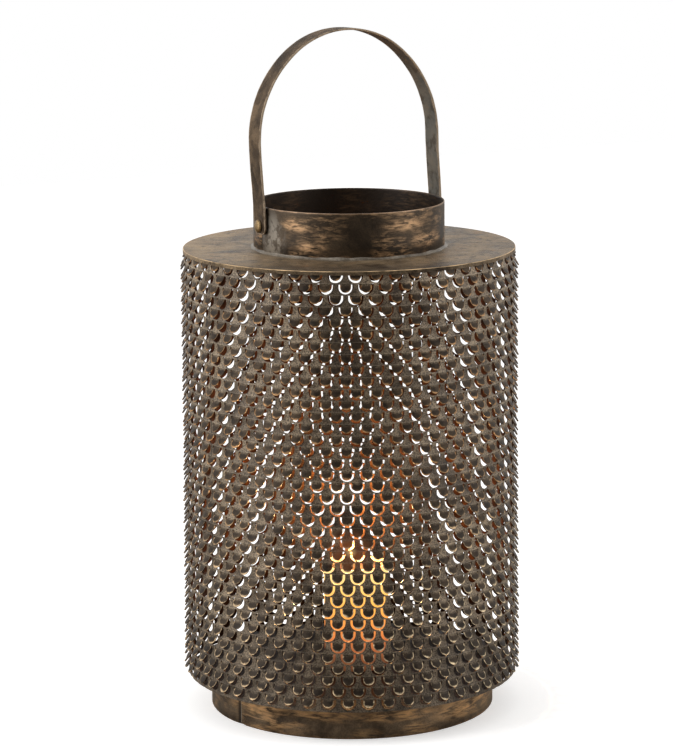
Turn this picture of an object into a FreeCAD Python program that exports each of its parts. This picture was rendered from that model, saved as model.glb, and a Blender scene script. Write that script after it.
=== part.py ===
import FreeCAD
import Part
import Sketcher
import math
import os

# Punched tin lantern: a drum of four punched quarter sheets on a base ring, a top plate with an open
# collar, a strap handle that swings on two rivets, and a pillar candle that lifts out through the collar.
# The origin is the centre of the foot, +Z is up and the rivets lie along X.

# Lengths are in millimetres and turns in degrees.
driving_sizes = {
    # base ring and floor
    "ring_radius": 109.0,
    "ring_height": 26.0,
    "ring_sheet": 1.0,
    "ring_seam_turn": 193.0,
    "floor_sheet": 0.9,
    # drum sheets
    "drum_radius": 125.0,
    "drum_height": 328.8,
    "drum_sheet": 0.9,
    "seam_turn": 8.0,
    "lap_width": 2.4,
    "lap_clearance": 0.5,
    # punched rows, from the top of a sheet to its foot
    "row_count": 13,
    "column_count": 3,
    "head_margin": 4.5,
    "foot_margin": 3.0,
    "side_web": 5.2,
    "cross_web": 2.4,
    "slot_width": 2.6,
    "tab_reach": 3.6,
    "shoulder_share": 0.35,
    "toe_share": 0.45,
    # top plate
    "plate_sheet": 0.9,
    "plate_fold": 3.0,
    # collar
    "collar_radius": 72.4,
    "collar_height": 34.3,
    "collar_sheet": 1.0,
    "seam_width": 0.8,
    # handle
    "bail_sheet": 1.5,
    "bail_width": 20.0,
    "bail_splay": 0.3,
    "bail_rise": 144.6,
    "bail_shift": 2.5,
    "bail_lean": 1.5,
    "bail_gap": 0.8,
    "bail_tail": 6.0,
    "bail_corner": 4.5,
    "shoulder_offset": 10.8,
    "crown_offset": 13.4,
    # rivets
    "pivot_height": 20.0,
    "rivet_shank": 2.4,
    "rivet_head": 5.0,
    "rivet_dome": 2.6,
    "crown_share": 0.5,
    "rivet_play": 0.6,
    "rivet_tail": 4.0,
    "tail_height": 1.2,
    "tail_gap": 0.2,
    # candle
    "candle_radius": 26.0,
    "candle_height": 91.0,
    "candle_shift": 4.0,
    "candle_rim": 5.0,
    "pool_depth": 2.5,
    "wick_radius": 1.0,
    "wick_depth": 12.0,
    "wick_height": 9.0,
    # fits
    "running_fit": 0.05,
    "seat_gap": 0.1,
}

panel_names = ["drum_panel_front", "drum_panel_right", "drum_panel_back", "drum_panel_left"]
panel_turn = 360 / len(panel_names)

doc = FreeCAD.newDocument("punched_tin_lantern")
sheet = doc.addObject("Spreadsheet::Sheet", "sizes")
for row, (alias, value) in enumerate(driving_sizes.items(), start=1):
    sheet.set(f"A{row}", alias)
    sheet.set(f"B{row}", str(value))
    sheet.setAlias(f"B{row}", alias)
doc.recompute()

# Heights of the stack, from the ground up.
floor_under = "sizes.ring_height"
plate_under = f"({floor_under} + sizes.drum_height)"
plate_top = f"({plate_under} + sizes.plate_sheet)"
collar_top = f"({plate_top} + sizes.collar_height)"
pivot_level = f"({plate_top} + sizes.pivot_height)"
candle_foot = f"({floor_under} + sizes.floor_sheet)"

# Each sheet is bent in upright flats, two for every column of tongues, so a tongue's hinge is straight.
flat_count = 2 * driving_sizes["column_count"]
flat_turn = panel_turn / flat_count
half_flat = f"cos({flat_turn / 2})"
flat_reach = f"(sizes.drum_radius * {half_flat})"
flat_width = f"(2 * sizes.drum_radius * sin({flat_turn / 2}))"
drum_inner = f"(sizes.drum_radius - sizes.drum_sheet / {half_flat})"

# The punched cell: one tongue hinged at its straight top edge, in a round-footed opening.
row_pitch = "((sizes.drum_height - sizes.head_margin - sizes.foot_margin) / sizes.row_count)"
first_hinge = f"({plate_under} - sizes.head_margin)"
hole_half = f"(({flat_width} - sizes.side_web) / 2)"
hole_height = f"({row_pitch} - sizes.cross_web)"
tab_half = f"({hole_half} - sizes.slot_width)"
tab_length = f"({hole_height} - sizes.slot_width)"
tab_tilt = f"atan((sizes.drum_radius + sizes.tab_reach - {flat_reach}) / {tab_length})"

# The handle's arch: its crown turns on a centre above and between those of its two shoulders.
half_span = "(sizes.collar_radius + sizes.bail_gap + sizes.bail_sheet + sizes.bail_splay)"
shoulder_radius = f"({half_span} + sizes.shoulder_offset)"
crown_radius = f"({shoulder_radius} - sqrt(sizes.shoulder_offset ^ 2 + sizes.crown_offset ^ 2))"


def origin_feature(body, role):
    for feature in body.Origin.OriginFeatures:
        if feature.Role == role:
            return feature
    raise ValueError(role)


def new_sketch(body, name, role):
    sketch = body.newObject("Sketcher::SketchObject", name)
    sketch.AttachmentSupport = (origin_feature(body, role), [""])
    sketch.MapMode = "FlatFace"
    return sketch


def bind_point(sketch, geometry, end, across, up):
    # Ties one end of a line or arc to two bound distances from the sketch's origin.
    point = sketch.getPoint(geometry, end)
    for kind, start, bound in (("DistanceX", point.x, across), ("DistanceY", point.y, up)):
        index = sketch.addConstraint(Sketcher.Constraint(kind, -1, 1, geometry, end, start))
        sketch.setExpression(f"Constraints[{index}]", bound)


def bind_circle(sketch, across, up, radius):
    # A circle of no set size until the bound radius and centre place it.
    sketch.addGeometry(Part.Circle(FreeCAD.Vector(0, 0, 0), FreeCAD.Vector(0, 0, 1), 1))
    bind_point(sketch, 0, 3, across, up)
    index = sketch.addConstraint(Sketcher.Constraint("Radius", 0, 1))
    sketch.setExpression(f"Constraints[{index}]", radius)


def draw_outline(body, name, role, corners):
    # A closed outline of straight sides. The corners start on a circle and the bound distances place them.
    sketch = new_sketch(body, name, role)
    count = len(corners)
    turns = [math.tau * index / count for index in range(count)]
    starts = [FreeCAD.Vector(math.cos(turn), math.sin(turn), 0) for turn in turns]
    sides = [Part.LineSegment(starts[index], starts[(index + 1) % count]) for index in range(count)]
    sketch.addGeometry(sides)
    for index in range(count):
        sketch.addConstraint(Sketcher.Constraint("Coincident", index, 2, (index + 1) % count, 1))
    for index, (across, up) in enumerate(corners):
        bind_point(sketch, index, 1, across, up)
    return sketch


def revolve(body, name, sketch):
    feature = body.newObject("PartDesign::Revolution", name)
    feature.Profile = sketch
    feature.ReferenceAxis = (origin_feature(body, "Z_Axis"), [""])
    feature.Angle = 360
    body.Tip = feature
    return feature


def revolved_body(label, corners):
    body = doc.addObject("PartDesign::Body", label)
    sketch = draw_outline(body, f"{label}_outline", "XZ_Plane", corners)
    revolve(body, f"{label}_turned", sketch)
    return body


def cut_seam(body, low, high, turn):
    # The butt seam of a rolled strip: a narrow slit in the wall at one turn about the axis.
    half = "sizes.seam_width / 2"
    corners = [(f"-{half}", low), (half, low), (half, high), (f"-{half}", high)]
    sketch = draw_outline(body, f"{body.Name}_seam_outline", "YZ_Plane", corners)
    upright = FreeCAD.Vector(0, 1, 0)
    sketch.AttachmentOffset = FreeCAD.Placement(FreeCAD.Vector(0, 0, 0), FreeCAD.Rotation(upright, 0))
    sketch.setExpression("AttachmentOffset.Rotation.Angle", turn)
    slit = body.newObject("PartDesign::Pocket", f"{body.Name}_seam")
    slit.Profile = sketch
    slit.Type = "ThroughAll"
    slit.Reversed = True
    body.Tip = slit
    return slit


def make_base_ring():
    inner = "sizes.ring_radius - sizes.ring_sheet"
    outer = "sizes.ring_radius"
    corners = [(inner, "0"), (outer, "0"), (outer, "sizes.ring_height"), (inner, "sizes.ring_height")]
    body = revolved_body("base_ring", corners)
    cut_seam(body, "0", "sizes.ring_height", "sizes.ring_seam_turn")
    return body


def drum_outline(reach):
    # The drum's many-sided outline at one distance from the axis, measured to its corners.
    turns = [f"(sizes.seam_turn + {index * flat_turn})" for index in range(flat_count * len(panel_names))]
    return [(f"({reach}) * cos({turn})", f"({reach}) * sin({turn})") for turn in turns]


def pad_drum_outline(body, name, reach, level, height):
    outline = draw_outline(body, f"{name}_outline", "XY_Plane", drum_outline(reach))
    outline.setExpression("AttachmentOffset.Base.z", level)
    feature = body.newObject("PartDesign::Pad", name)
    feature.Profile = outline
    feature.setExpression("Length", height)
    body.Tip = feature
    return feature


def make_floor_plate():
    # It fills the foot of the drum and is soldered on the base ring.
    body = doc.addObject("PartDesign::Body", "floor_plate")
    reach = f"{drum_inner} - sizes.seat_gap / {half_flat}"
    pad_drum_outline(body, "floor_disc", reach, floor_under, "sizes.floor_sheet")
    return body


def tongue_outline(half, length):
    # A straight hinge edge, straight sides down to the shoulder, then two slants to a short toe.
    shoulder = f"-sizes.shoulder_share * {length}"
    toe = f"sizes.toe_share * {half}"
    return [
        (f"-{half}", "0"),
        (f"-{half}", shoulder),
        (f"-{toe}", f"-{length}"),
        (toe, f"-{length}"),
        (half, shoulder),
        (half, "0"),
    ]


def punch_rows(body, name, first_turn, hinge, rows):
    # One opening and its tongue, repeated down the sheet and along it.
    opening = tongue_outline(hole_half, hole_height)
    hole_sketch = draw_outline(body, f"{name}_hole_outline", "YZ_Plane", opening)
    hole_sketch.setExpression("AttachmentOffset.Rotation.Pitch", f"{first_turn}")
    hole_sketch.setExpression("AttachmentOffset.Base.y", hinge)
    hole = body.newObject("PartDesign::Pocket", f"{name}_hole")
    hole.Profile = hole_sketch
    hole.Type = "ThroughAll"
    hole.Reversed = True

    # The tongue leans out from its hinge. Along the flat's own normal it is as thick as the sheet.
    leaning = f"{tab_length} / cos({tab_tilt})"
    tongue_shape = tongue_outline(tab_half, leaning)
    tab_sketch = draw_outline(body, f"{name}_tongue_outline", "YZ_Plane", tongue_shape)
    tab_sketch.setExpression("AttachmentOffset.Rotation.Pitch", f"{first_turn}")
    tab_sketch.setExpression("AttachmentOffset.Rotation.Roll", f"-{tab_tilt}")
    tab_sketch.setExpression("AttachmentOffset.Base.x", f"{flat_reach} * sin({first_turn})")
    tab_sketch.setExpression("AttachmentOffset.Base.y", hinge)
    tab_sketch.setExpression("AttachmentOffset.Base.z", f"{flat_reach} * cos({first_turn})")
    tongue = body.newObject("PartDesign::Pad", f"{name}_tongue")
    tongue.Profile = tab_sketch
    tongue.UseCustomVector = True
    tongue.AlongSketchNormal = False
    tongue.setExpression("Direction.x", f"-cos({first_turn})")
    tongue.setExpression("Direction.y", f"-sin({first_turn})")
    tongue.Direction.z = 0
    tongue.setExpression("Length", "sizes.drum_sheet")

    pattern = body.newObject("PartDesign::MultiTransform", f"{name}_pattern")
    pattern.Originals = [hole, tongue]
    down = body.newObject("PartDesign::LinearPattern", f"{name}_down")
    down.Direction = (origin_feature(body, "Z_Axis"), [""])
    down.Reversed = True
    down.setExpression("Occurrences", rows)
    down.setExpression("Length", f"2 * {row_pitch} * ({rows} - 1)")
    along = body.newObject("PartDesign::PolarPattern", f"{name}_along")
    along.Axis = (origin_feature(body, "Z_Axis"), [""])
    along.setExpression("Occurrences", "sizes.column_count")
    along.setExpression("Angle", f"2 * {flat_turn} * (sizes.column_count - 1)")
    pattern.Transformations = [down, along]
    body.Tip = pattern
    return pattern


def make_first_panel():
    # A quarter sheet, centred on +X before it is turned to its place.
    body = doc.addObject("PartDesign::Body", panel_names[0])
    outer = "sizes.drum_radius"
    edge = panel_turn / 2
    turns = [index * flat_turn - edge for index in range(flat_count + 1)]
    corners = [(f"{outer} * cos({turn})", f"{outer} * sin({turn})") for turn in turns]
    corners += [(f"{drum_inner} * cos({turn})", f"{drum_inner} * sin({turn})") for turn in reversed(turns)]
    wall = body.newObject("PartDesign::Pad", "sheet_wall")
    wall.Profile = draw_outline(body, "sheet_section", "XY_Plane", corners)
    wall.Profile[0].setExpression("AttachmentOffset.Base.z", floor_under)
    wall.setExpression("Length", "sizes.drum_height")

    # One upright edge laps over the first flat of the next sheet, and is cut square to the flats.
    lap_outer = f"({outer} + sizes.drum_sheet / {half_flat})"
    own_side = edge - flat_turn / 2
    far_side = edge + flat_turn / 2
    corners = []
    for reach, side, slide in (
        (outer, own_side, "-sizes.lap_width"),
        (outer, edge, "0"),
        (outer, far_side, "sizes.lap_width"),
        (lap_outer, far_side, "sizes.lap_width"),
        (lap_outer, edge, "0"),
        (lap_outer, own_side, "-sizes.lap_width"),
    ):
        across = f"{reach} * cos({edge}) - {slide} * sin({side})"
        up = f"{reach} * sin({edge}) + {slide} * cos({side})"
        corners.append((across, up))
    lap = body.newObject("PartDesign::Pad", "seam_lap")
    lap.Profile = draw_outline(body, "lap_section", "XY_Plane", corners)
    lap.Profile[0].setExpression("AttachmentOffset.Base.z", floor_under)
    lap_height = "sizes.drum_height + sizes.plate_sheet - sizes.plate_fold - sizes.lap_clearance"
    lap.setExpression("Length", lap_height)

    # Upper and lower rows take turns down the sheet, on every second flat.
    first_turn = flat_turn / 2 - edge
    punch_rows(body, "upper_row", first_turn, first_hinge, "ceil(sizes.row_count / 2)")
    next_hinge = f"{first_hinge} - {row_pitch}"
    punch_rows(body, "lower_row", first_turn + flat_turn, next_hinge, "floor(sizes.row_count / 2)")
    return body


def make_panels():
    # The four sheets are one pattern, so three of them repeat the first at a quarter turn each.
    first = make_first_panel()
    panels = [first]
    for name in panel_names[1:]:
        body = doc.addObject("PartDesign::Body", name)
        repeat = body.newObject("PartDesign::FeatureBase", f"{name}_sheet")
        repeat.BaseFeature = first
        body.Tip = repeat
        panels.append(body)
    # The first sheet faces the front, one and a half quarters short of the seam's turn.
    lead = (len(panels) - 1) / 2
    for index, body in enumerate(panels):
        turn = f"sizes.seam_turn + {panel_turn * (index - lead)}"
        body.setExpression("Placement.Rotation.Angle", turn)
    return panels


def make_top_plate():
    # A flat plate on the sheets' upper ends, its edge folded down outside them, with a round mouth.
    body = doc.addObject("PartDesign::Body", "top_plate")
    rim_inner = f"sizes.drum_radius + sizes.seat_gap / {half_flat}"
    rim_outer = f"{rim_inner} + sizes.plate_sheet / {half_flat}"
    rim_foot = f"({plate_top} - sizes.plate_fold)"
    pad_drum_outline(body, "plate_block", rim_outer, rim_foot, "sizes.plate_fold")
    hollow = body.newObject("PartDesign::Pocket", "fold_hollow")
    hollow.Profile = draw_outline(body, "hollow_outline", "XY_Plane", drum_outline(rim_inner))
    hollow.Profile[0].setExpression("AttachmentOffset.Base.z", rim_foot)
    hollow.Reversed = True
    hollow.setExpression("Length", "sizes.plate_fold - sizes.plate_sheet")

    mouth_outline = new_sketch(body, "mouth_outline", "XY_Plane")
    bind_circle(mouth_outline, "0", "0", "sizes.collar_radius - sizes.collar_sheet")
    mouth_outline.setExpression("AttachmentOffset.Base.z", rim_foot)
    mouth = body.newObject("PartDesign::Pocket", "mouth")
    mouth.Profile = mouth_outline
    mouth.Type = "ThroughAll"
    mouth.Reversed = True
    body.Tip = mouth
    return body


def make_collar():
    # A rolled strip soldered on the plate round its mouth.
    inner = "sizes.collar_radius - sizes.collar_sheet"
    outer = "sizes.collar_radius"
    corners = [(inner, plate_top), (outer, plate_top), (outer, collar_top), (inner, collar_top)]
    body = revolved_body("collar", corners)
    cut_seam(body, plate_top, collar_top, "180")
    drill_pivots(body, "sizes.rivet_shank + sizes.running_fit")
    return body


def drill_pivots(body, radius):
    # One drill along X passes both walls at the height of the rivets.
    sketch = new_sketch(body, f"{body.Name}_pivot_outline", "YZ_Plane")
    bind_circle(sketch, "0", pivot_level, radius)
    holes = body.newObject("PartDesign::Pocket", f"{body.Name}_pivots")
    holes.Profile = sketch
    holes.Type = "ThroughAll"
    holes.Midplane = True
    body.Tip = holes
    return holes


def strap_side(leg, foot, shoulder, crown, crown_level):
    # One face of the strap, near its place: leg, shoulder, crown, shoulder, leg.
    up = FreeCAD.Vector(0, 0, 1)
    inset = sheet.get("shoulder_offset")
    drop = sheet.get("crown_offset")
    turn = math.atan2(drop, inset)
    top = FreeCAD.Vector(-sheet.get("bail_shift"), crown_level, 0)
    left = top + FreeCAD.Vector(inset, -drop, 0)
    right = top + FreeCAD.Vector(-inset, -drop, 0)
    return [
        Part.LineSegment(FreeCAD.Vector(-leg, foot, 0), FreeCAD.Vector(left.x - shoulder, left.y, 0)),
        Part.ArcOfCircle(Part.Circle(left, up, shoulder), math.pi - turn, math.pi),
        Part.ArcOfCircle(Part.Circle(top, up, crown), turn, math.pi - turn),
        Part.ArcOfCircle(Part.Circle(right, up, shoulder), 0, turn),
        Part.LineSegment(FreeCAD.Vector(right.x + shoulder, right.y, 0), FreeCAD.Vector(leg, foot, 0)),
    ]


def bind_strap_side(sketch, first, leg_face, thinning):
    # Tangents hold the five stretches together, and the feet, radii and centres are bound.
    left_leg, left_arc, crown, right_arc, right_leg = range(first, first + 5)
    for join in (
        (left_leg, 2, left_arc, 2),
        (left_arc, 1, crown, 2),
        (crown, 1, right_arc, 2),
        (right_arc, 1, right_leg, 1),
    ):
        sketch.addConstraint(Sketcher.Constraint("Tangent", *join))
    leg_foot = f"({pivot_level} - sizes.bail_tail)"
    bind_point(sketch, left_leg, 1, f"-{leg_face}", leg_foot)
    bind_point(sketch, right_leg, 2, leg_face, leg_foot)
    bind_point(sketch, crown, 3, "-sizes.bail_shift", f"{pivot_level} + sizes.bail_rise - {crown_radius}")
    for arc, radius in ((left_arc, shoulder_radius), (crown, crown_radius), (right_arc, shoulder_radius)):
        index = sketch.addConstraint(Sketcher.Constraint("Radius", arc, sketch.Geometry[arc].Radius))
        sketch.setExpression(f"Constraints[{index}]", f"{radius} - {thinning}")
    for arc, side in ((left_arc, 1), (right_arc, -1)):
        centre = sketch.getPoint(arc, 3).x
        index = sketch.addConstraint(Sketcher.Constraint("DistanceX", -1, 1, arc, 3, centre))
        sketch.setExpression(f"Constraints[{index}]", f"{side} * sizes.shoulder_offset - sizes.bail_shift")


def make_bail():
    # One flat strap, drawn by its edge and as wide as the pad is long.
    body = doc.addObject("PartDesign::Body", "bail_handle")
    value = sheet.get
    pivot = value("ring_height") + value("drum_height") + value("plate_sheet") + value("pivot_height")
    foot = pivot - value("bail_tail")
    leg = value("collar_radius") + value("bail_gap")
    thickness = value("bail_sheet")
    shoulder = leg + thickness + value("bail_splay") + value("shoulder_offset")
    crown = shoulder - math.hypot(value("shoulder_offset"), value("crown_offset"))
    crown_level = pivot + value("bail_rise") - crown
    outer_side = strap_side(leg + thickness, foot, shoulder, crown, crown_level)
    inner_side = strap_side(leg, foot, shoulder - thickness, crown - thickness, crown_level)
    ends = [
        Part.LineSegment(outer_side[0].StartPoint, inner_side[0].StartPoint),
        Part.LineSegment(outer_side[-1].EndPoint, inner_side[-1].EndPoint),
    ]
    edge = new_sketch(body, "strap_edge", "XZ_Plane")
    edge.addGeometry(outer_side + inner_side + ends)
    joins = ((0, 1, 10, 1), (10, 2, 5, 1), (4, 2, 11, 1), (11, 2, 9, 2))
    for first, first_end, second, second_end in joins:
        edge.addConstraint(Sketcher.Constraint("Coincident", first, first_end, second, second_end))
    inner_face = "(sizes.collar_radius + sizes.bail_gap)"
    bind_strap_side(edge, 0, f"({inner_face} + sizes.bail_sheet)", "0")
    bind_strap_side(edge, len(outer_side), inner_face, "sizes.bail_sheet")
    strap = body.newObject("PartDesign::Pad", "strap")
    strap.Profile = edge
    strap.Midplane = True
    strap.setExpression("Length", "sizes.bail_width")
    body.Tip = strap
    doc.recompute()

    # Both leg ends are cut off at their corners.
    ends = []
    for index, side in enumerate(strap.Shape.Edges, start=1):
        box = side.BoundBox
        if box.ZMax < foot + thickness and box.YLength < thickness / 2:
            ends.append(f"Edge{index}")
    corner = body.newObject("PartDesign::Chamfer", "leg_ends")
    corner.Base = (strap, ends)
    corner.setExpression("Size", "sizes.bail_corner")
    body.Tip = corner
    drill_pivots(body, "sizes.rivet_shank + sizes.running_fit")

    # The handle leans back a little about the rivets.
    level = FreeCAD.Vector(1, 0, 0)
    body.Placement = FreeCAD.Placement(FreeCAD.Vector(0, 0, 0), FreeCAD.Rotation(level, 0))
    body.setExpression("Placement.Rotation.Angle", "-sizes.bail_lean")
    body.setExpression("Placement.Base.y", f"-{pivot_level} * sin(sizes.bail_lean)")
    body.setExpression("Placement.Base.z", f"{pivot_level} * (1 - cos(sizes.bail_lean))")
    return body


def make_rivet(label, side):
    # Built along +Z from the flattened tail inside the collar to the tapered head, then laid along X.
    inner_face = "(sizes.collar_radius - sizes.collar_sheet - sizes.tail_gap)"
    head_seat = "(sizes.collar_radius + sizes.bail_gap + sizes.bail_sheet + sizes.rivet_play)"
    head_foot = f"(sizes.tail_height + {head_seat} - {inner_face})"
    tail = doc.addObject("Part::Cylinder", f"{label}_tail")
    tail.setExpression("Radius", "sizes.rivet_tail")
    tail.setExpression("Height", "sizes.tail_height")
    shank = doc.addObject("Part::Cylinder", f"{label}_shank")
    shank.setExpression("Radius", "sizes.rivet_shank")
    shank.setExpression("Height", head_foot)
    head = doc.addObject("Part::Cone", f"{label}_head")
    head.setExpression("Radius1", "sizes.rivet_head")
    head.setExpression("Radius2", "sizes.crown_share * sizes.rivet_head")
    head.setExpression("Height", "sizes.rivet_dome")
    head.setExpression("Placement.Base.z", head_foot)
    rivet = doc.addObject("Part::MultiFuse", label)
    rivet.Shapes = [tail, shank, head]
    quarter = FreeCAD.Rotation(FreeCAD.Vector(0, 1, 0), side * 90)
    rivet.Placement = FreeCAD.Placement(FreeCAD.Vector(0, 0, 0), quarter)
    rivet.setExpression("Placement.Base.x", f"{side} * ({inner_face} - sizes.tail_height)")
    rivet.setExpression("Placement.Base.z", pivot_level)
    return rivet


def make_rivets():
    # The pair are alike, so they are one group of two solids.
    pair = doc.addObject("Part::Compound", "rivets")
    pair.Links = [make_rivet("rivet_left", -1), make_rivet("rivet_right", 1)]
    return pair


def make_candle():
    # A pillar with a shallow pool inside its rim, and the wick's hole in the pool.
    top = f"{candle_foot} + sizes.candle_height"
    pool = f"{top} - sizes.pool_depth"
    hole = "sizes.wick_radius + sizes.running_fit"
    corners = [
        ("0", candle_foot),
        ("sizes.candle_radius", candle_foot),
        ("sizes.candle_radius", top),
        ("sizes.candle_radius - sizes.candle_rim", top),
        ("sizes.candle_radius - sizes.candle_rim", pool),
        (hole, pool),
        (hole, f"{pool} - sizes.wick_depth"),
        ("0", f"{pool} - sizes.wick_depth"),
    ]
    candle = revolved_body("candle_body", corners)
    candle.setExpression("Placement.Base.x", "sizes.candle_shift")
    wick = doc.addObject("Part::Cylinder", "candle_wick")
    wick.setExpression("Radius", "sizes.wick_radius")
    wick.setExpression("Height", "sizes.wick_depth + sizes.wick_height")
    wick.setExpression("Placement.Base.x", "sizes.candle_shift")
    wick.setExpression("Placement.Base.z", f"{pool} - sizes.wick_depth")
    return [candle, wick]


sub_parts = [make_base_ring(), make_floor_plate()]
sub_parts += make_panels()
sub_parts += [make_top_plate(), make_collar(), make_bail()]
sub_parts += [make_rivets()]
sub_parts += make_candle()
doc.recompute()

failed = [item.Name for item in doc.Objects if "Invalid" in item.State or "Error" in item.State]
if failed:
    raise RuntimeError(f"these objects failed: {failed}")
for item in sub_parts:
    if item.Shape.isNull() or not item.Shape.isValid():
        raise RuntimeError(f"{item.Label} has no valid shape")

os.makedirs("parts", exist_ok=True)
for item in sub_parts:
    item.Shape.exportStep(f"parts/{item.Label}.step")
    print(item.Label, round(item.Shape.Volume), len(item.Shape.Solids), len(item.Shape.Faces))
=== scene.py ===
import math
import bpy
import numpy as np
from mathutils import Matrix, Quaternion, Vector


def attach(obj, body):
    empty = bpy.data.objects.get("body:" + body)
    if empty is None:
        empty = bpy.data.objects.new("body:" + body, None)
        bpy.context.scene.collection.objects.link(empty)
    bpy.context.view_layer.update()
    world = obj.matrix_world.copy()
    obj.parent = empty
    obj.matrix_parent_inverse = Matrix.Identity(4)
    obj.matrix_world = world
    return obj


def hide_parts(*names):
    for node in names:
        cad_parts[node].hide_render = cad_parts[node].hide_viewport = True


# A punched tin lantern with a candle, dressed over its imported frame.
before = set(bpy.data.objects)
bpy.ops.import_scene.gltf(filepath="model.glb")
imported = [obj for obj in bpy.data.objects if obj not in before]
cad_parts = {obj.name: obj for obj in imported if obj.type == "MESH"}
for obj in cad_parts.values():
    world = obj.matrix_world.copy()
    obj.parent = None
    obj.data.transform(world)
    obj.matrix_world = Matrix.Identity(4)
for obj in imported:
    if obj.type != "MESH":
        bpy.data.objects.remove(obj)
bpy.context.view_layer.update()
print("frame loaded")

mm = 0.001                    # meshes are built in millimetres, the scene is in metres


# mesh tools

def placeMesh(name, points, faces, materials, faceSlots=None, values=None, sharpAngle=40.0):
    mesh = bpy.data.meshes.new(name)
    mesh.from_pydata(np.asarray(points, dtype=float) * mm, [], faces)
    mesh.validate()
    for material in materials:
        mesh.materials.append(material)
    if faceSlots is not None:
        assert len(faceSlots) == len(mesh.polygons), name
        mesh.polygons.foreach_set("material_index", np.asarray(faceSlots, dtype=np.int32))
    for label, column in (values or {}).items():
        layer = mesh.attributes.new(label, "FLOAT", "POINT")
        layer.data.foreach_set("value", np.asarray(column, dtype=np.float32))
    mesh.polygons.foreach_set("use_smooth", np.ones(len(mesh.polygons), dtype=bool))
    mesh.set_sharp_from_angle(angle=math.radians(sharpAngle))
    mesh.update()
    piece = bpy.data.objects.new(name, mesh)
    bpy.context.scene.collection.objects.link(piece)
    return piece


def sweepLoops(loops, closedPath):
    # each loop is a ring of points; neighbouring rings are joined by quads
    ringCount, loopCount = loops.shape[0], loops.shape[1]
    points = loops.reshape(-1, 3)
    faces = []
    last = ringCount if closedPath else ringCount - 1
    for ring in range(last):
        following = (ring + 1) % ringCount
        for spot in range(loopCount):
            beside = (spot + 1) % loopCount
            faces.append((ring * loopCount + spot, following * loopCount + spot,
                          following * loopCount + beside, ring * loopCount + beside))
    if not closedPath:
        faces.append(tuple(range(loopCount)))
        end = (ringCount - 1) * loopCount
        faces.append(tuple(end + spot for spot in reversed(range(loopCount))))
    return points, faces


def lathe(profile, steps, wobble=None):
    # turns a closed outline of (radius, height) round the upright axis
    angles = np.linspace(0, 2 * math.pi, steps, endpoint=False)
    outline = np.asarray(profile, dtype=float)
    loops = np.zeros((steps, len(outline), 3))
    for index, angle in enumerate(angles):
        radius = outline[:, 0] + (wobble(angle, outline) if wobble else 0.0)
        loops[index, :, 0] = radius * math.cos(angle)
        loops[index, :, 1] = radius * math.sin(angle)
        loops[index, :, 2] = outline[:, 1]
    return sweepLoops(loops, True)


def turnSolid(profile, steps, centre=(0.0, 0.0), wobble=None):
    # profile runs from the axis at the foot to the axis at the top
    angles = np.linspace(0, 2 * math.pi, steps, endpoint=False)
    outline = np.asarray(profile, dtype=float)
    foot, top, walls = outline[0], outline[-1], outline[1:-1]
    points = [(centre[0], centre[1], foot[1])]
    for angle in angles:
        for radius, height in walls:
            lift = wobble(angle, radius, height) if wobble else (0.0, 0.0)
            reach = radius + lift[0]
            points.append((centre[0] + reach * math.cos(angle),
                           centre[1] + reach * math.sin(angle), height + lift[1]))
    points.append((centre[0], centre[1], top[1]))
    count, lastPoint = len(walls), len(points) - 1
    faces = []
    for step in range(steps):
        here, there = 1 + step * count, 1 + ((step + 1) % steps) * count
        faces.append((0, there, here))
        for level in range(count - 1):
            faces.append((here + level, there + level, there + level + 1, here + level + 1))
        faces.append((here + count - 1, there + count - 1, lastPoint))
    return points, faces


# node tools

def newTree(name, inputs, outputs):
    tree = bpy.data.node_groups.new(name, "ShaderNodeTree")
    for label, kind, value in inputs:
        socket = tree.interface.new_socket(name=label, in_out="INPUT", socket_type=kind)
        if value is not None:
            socket.default_value = value
    for label, kind in outputs:
        tree.interface.new_socket(name=label, in_out="OUTPUT", socket_type=kind)
    return tree, tree.nodes.new("NodeGroupInput"), tree.nodes.new("NodeGroupOutput")


def feed(tree, socket, value):
    if isinstance(value, bpy.types.NodeSocket):
        tree.links.new(value, socket)
    elif value is not None:
        socket.default_value = value


def mathNode(tree, operation, first, second=None, clamp=False):
    node = tree.nodes.new("ShaderNodeMath")
    node.operation = operation
    node.use_clamp = clamp
    for index, value in enumerate((first, second)):
        feed(tree, node.inputs[index], value)
    return node.outputs[0]


def mixColour(tree, factor, first, second):
    node = tree.nodes.new("ShaderNodeMix")
    node.data_type = "RGBA"
    node.clamp_factor = True
    feed(tree, node.inputs["Factor"], factor)
    feed(tree, node.inputs[6], first)
    feed(tree, node.inputs[7], second)
    return node.outputs[2]


def noiseNode(tree, vector, scale, detail=3.0, roughness=0.55, distortion=0.0):
    node = tree.nodes.new("ShaderNodeTexNoise")
    feed(tree, node.inputs["Vector"], vector)
    feed(tree, node.inputs["Scale"], scale)
    node.inputs["Detail"].default_value = detail
    node.inputs["Roughness"].default_value = roughness
    node.inputs["Distortion"].default_value = distortion
    return node.outputs["Fac"]


def rangeNode(tree, value, low, high, toLow=0.0, toHigh=1.0, smooth=True):
    node = tree.nodes.new("ShaderNodeMapRange")
    node.interpolation_type = "SMOOTHSTEP" if smooth else "LINEAR"
    for label, setting in (("Value", value), ("From Min", low), ("From Max", high),
                           ("To Min", toLow), ("To Max", toHigh)):
        feed(tree, node.inputs[label], setting)
    return node.outputs["Result"]


def rampNode(tree, value, stops):
    node = tree.nodes.new("ShaderNodeValToRGB")
    feed(tree, node.inputs["Fac"], value)
    elements = node.color_ramp.elements
    elements[0].position, elements[0].color = stops[0]
    elements[1].position, elements[1].color = stops[-1]
    for place, colour in stops[1:-1]:
        added = elements.new(place)
        added.color = colour
    return node.outputs["Color"]


def useGroup(tree, group, **settings):
    node = tree.nodes.new("ShaderNodeGroup")
    node.node_tree = group
    for label, value in settings.items():
        feed(tree, node.inputs[spaced(label)], value)
    return node


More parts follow.
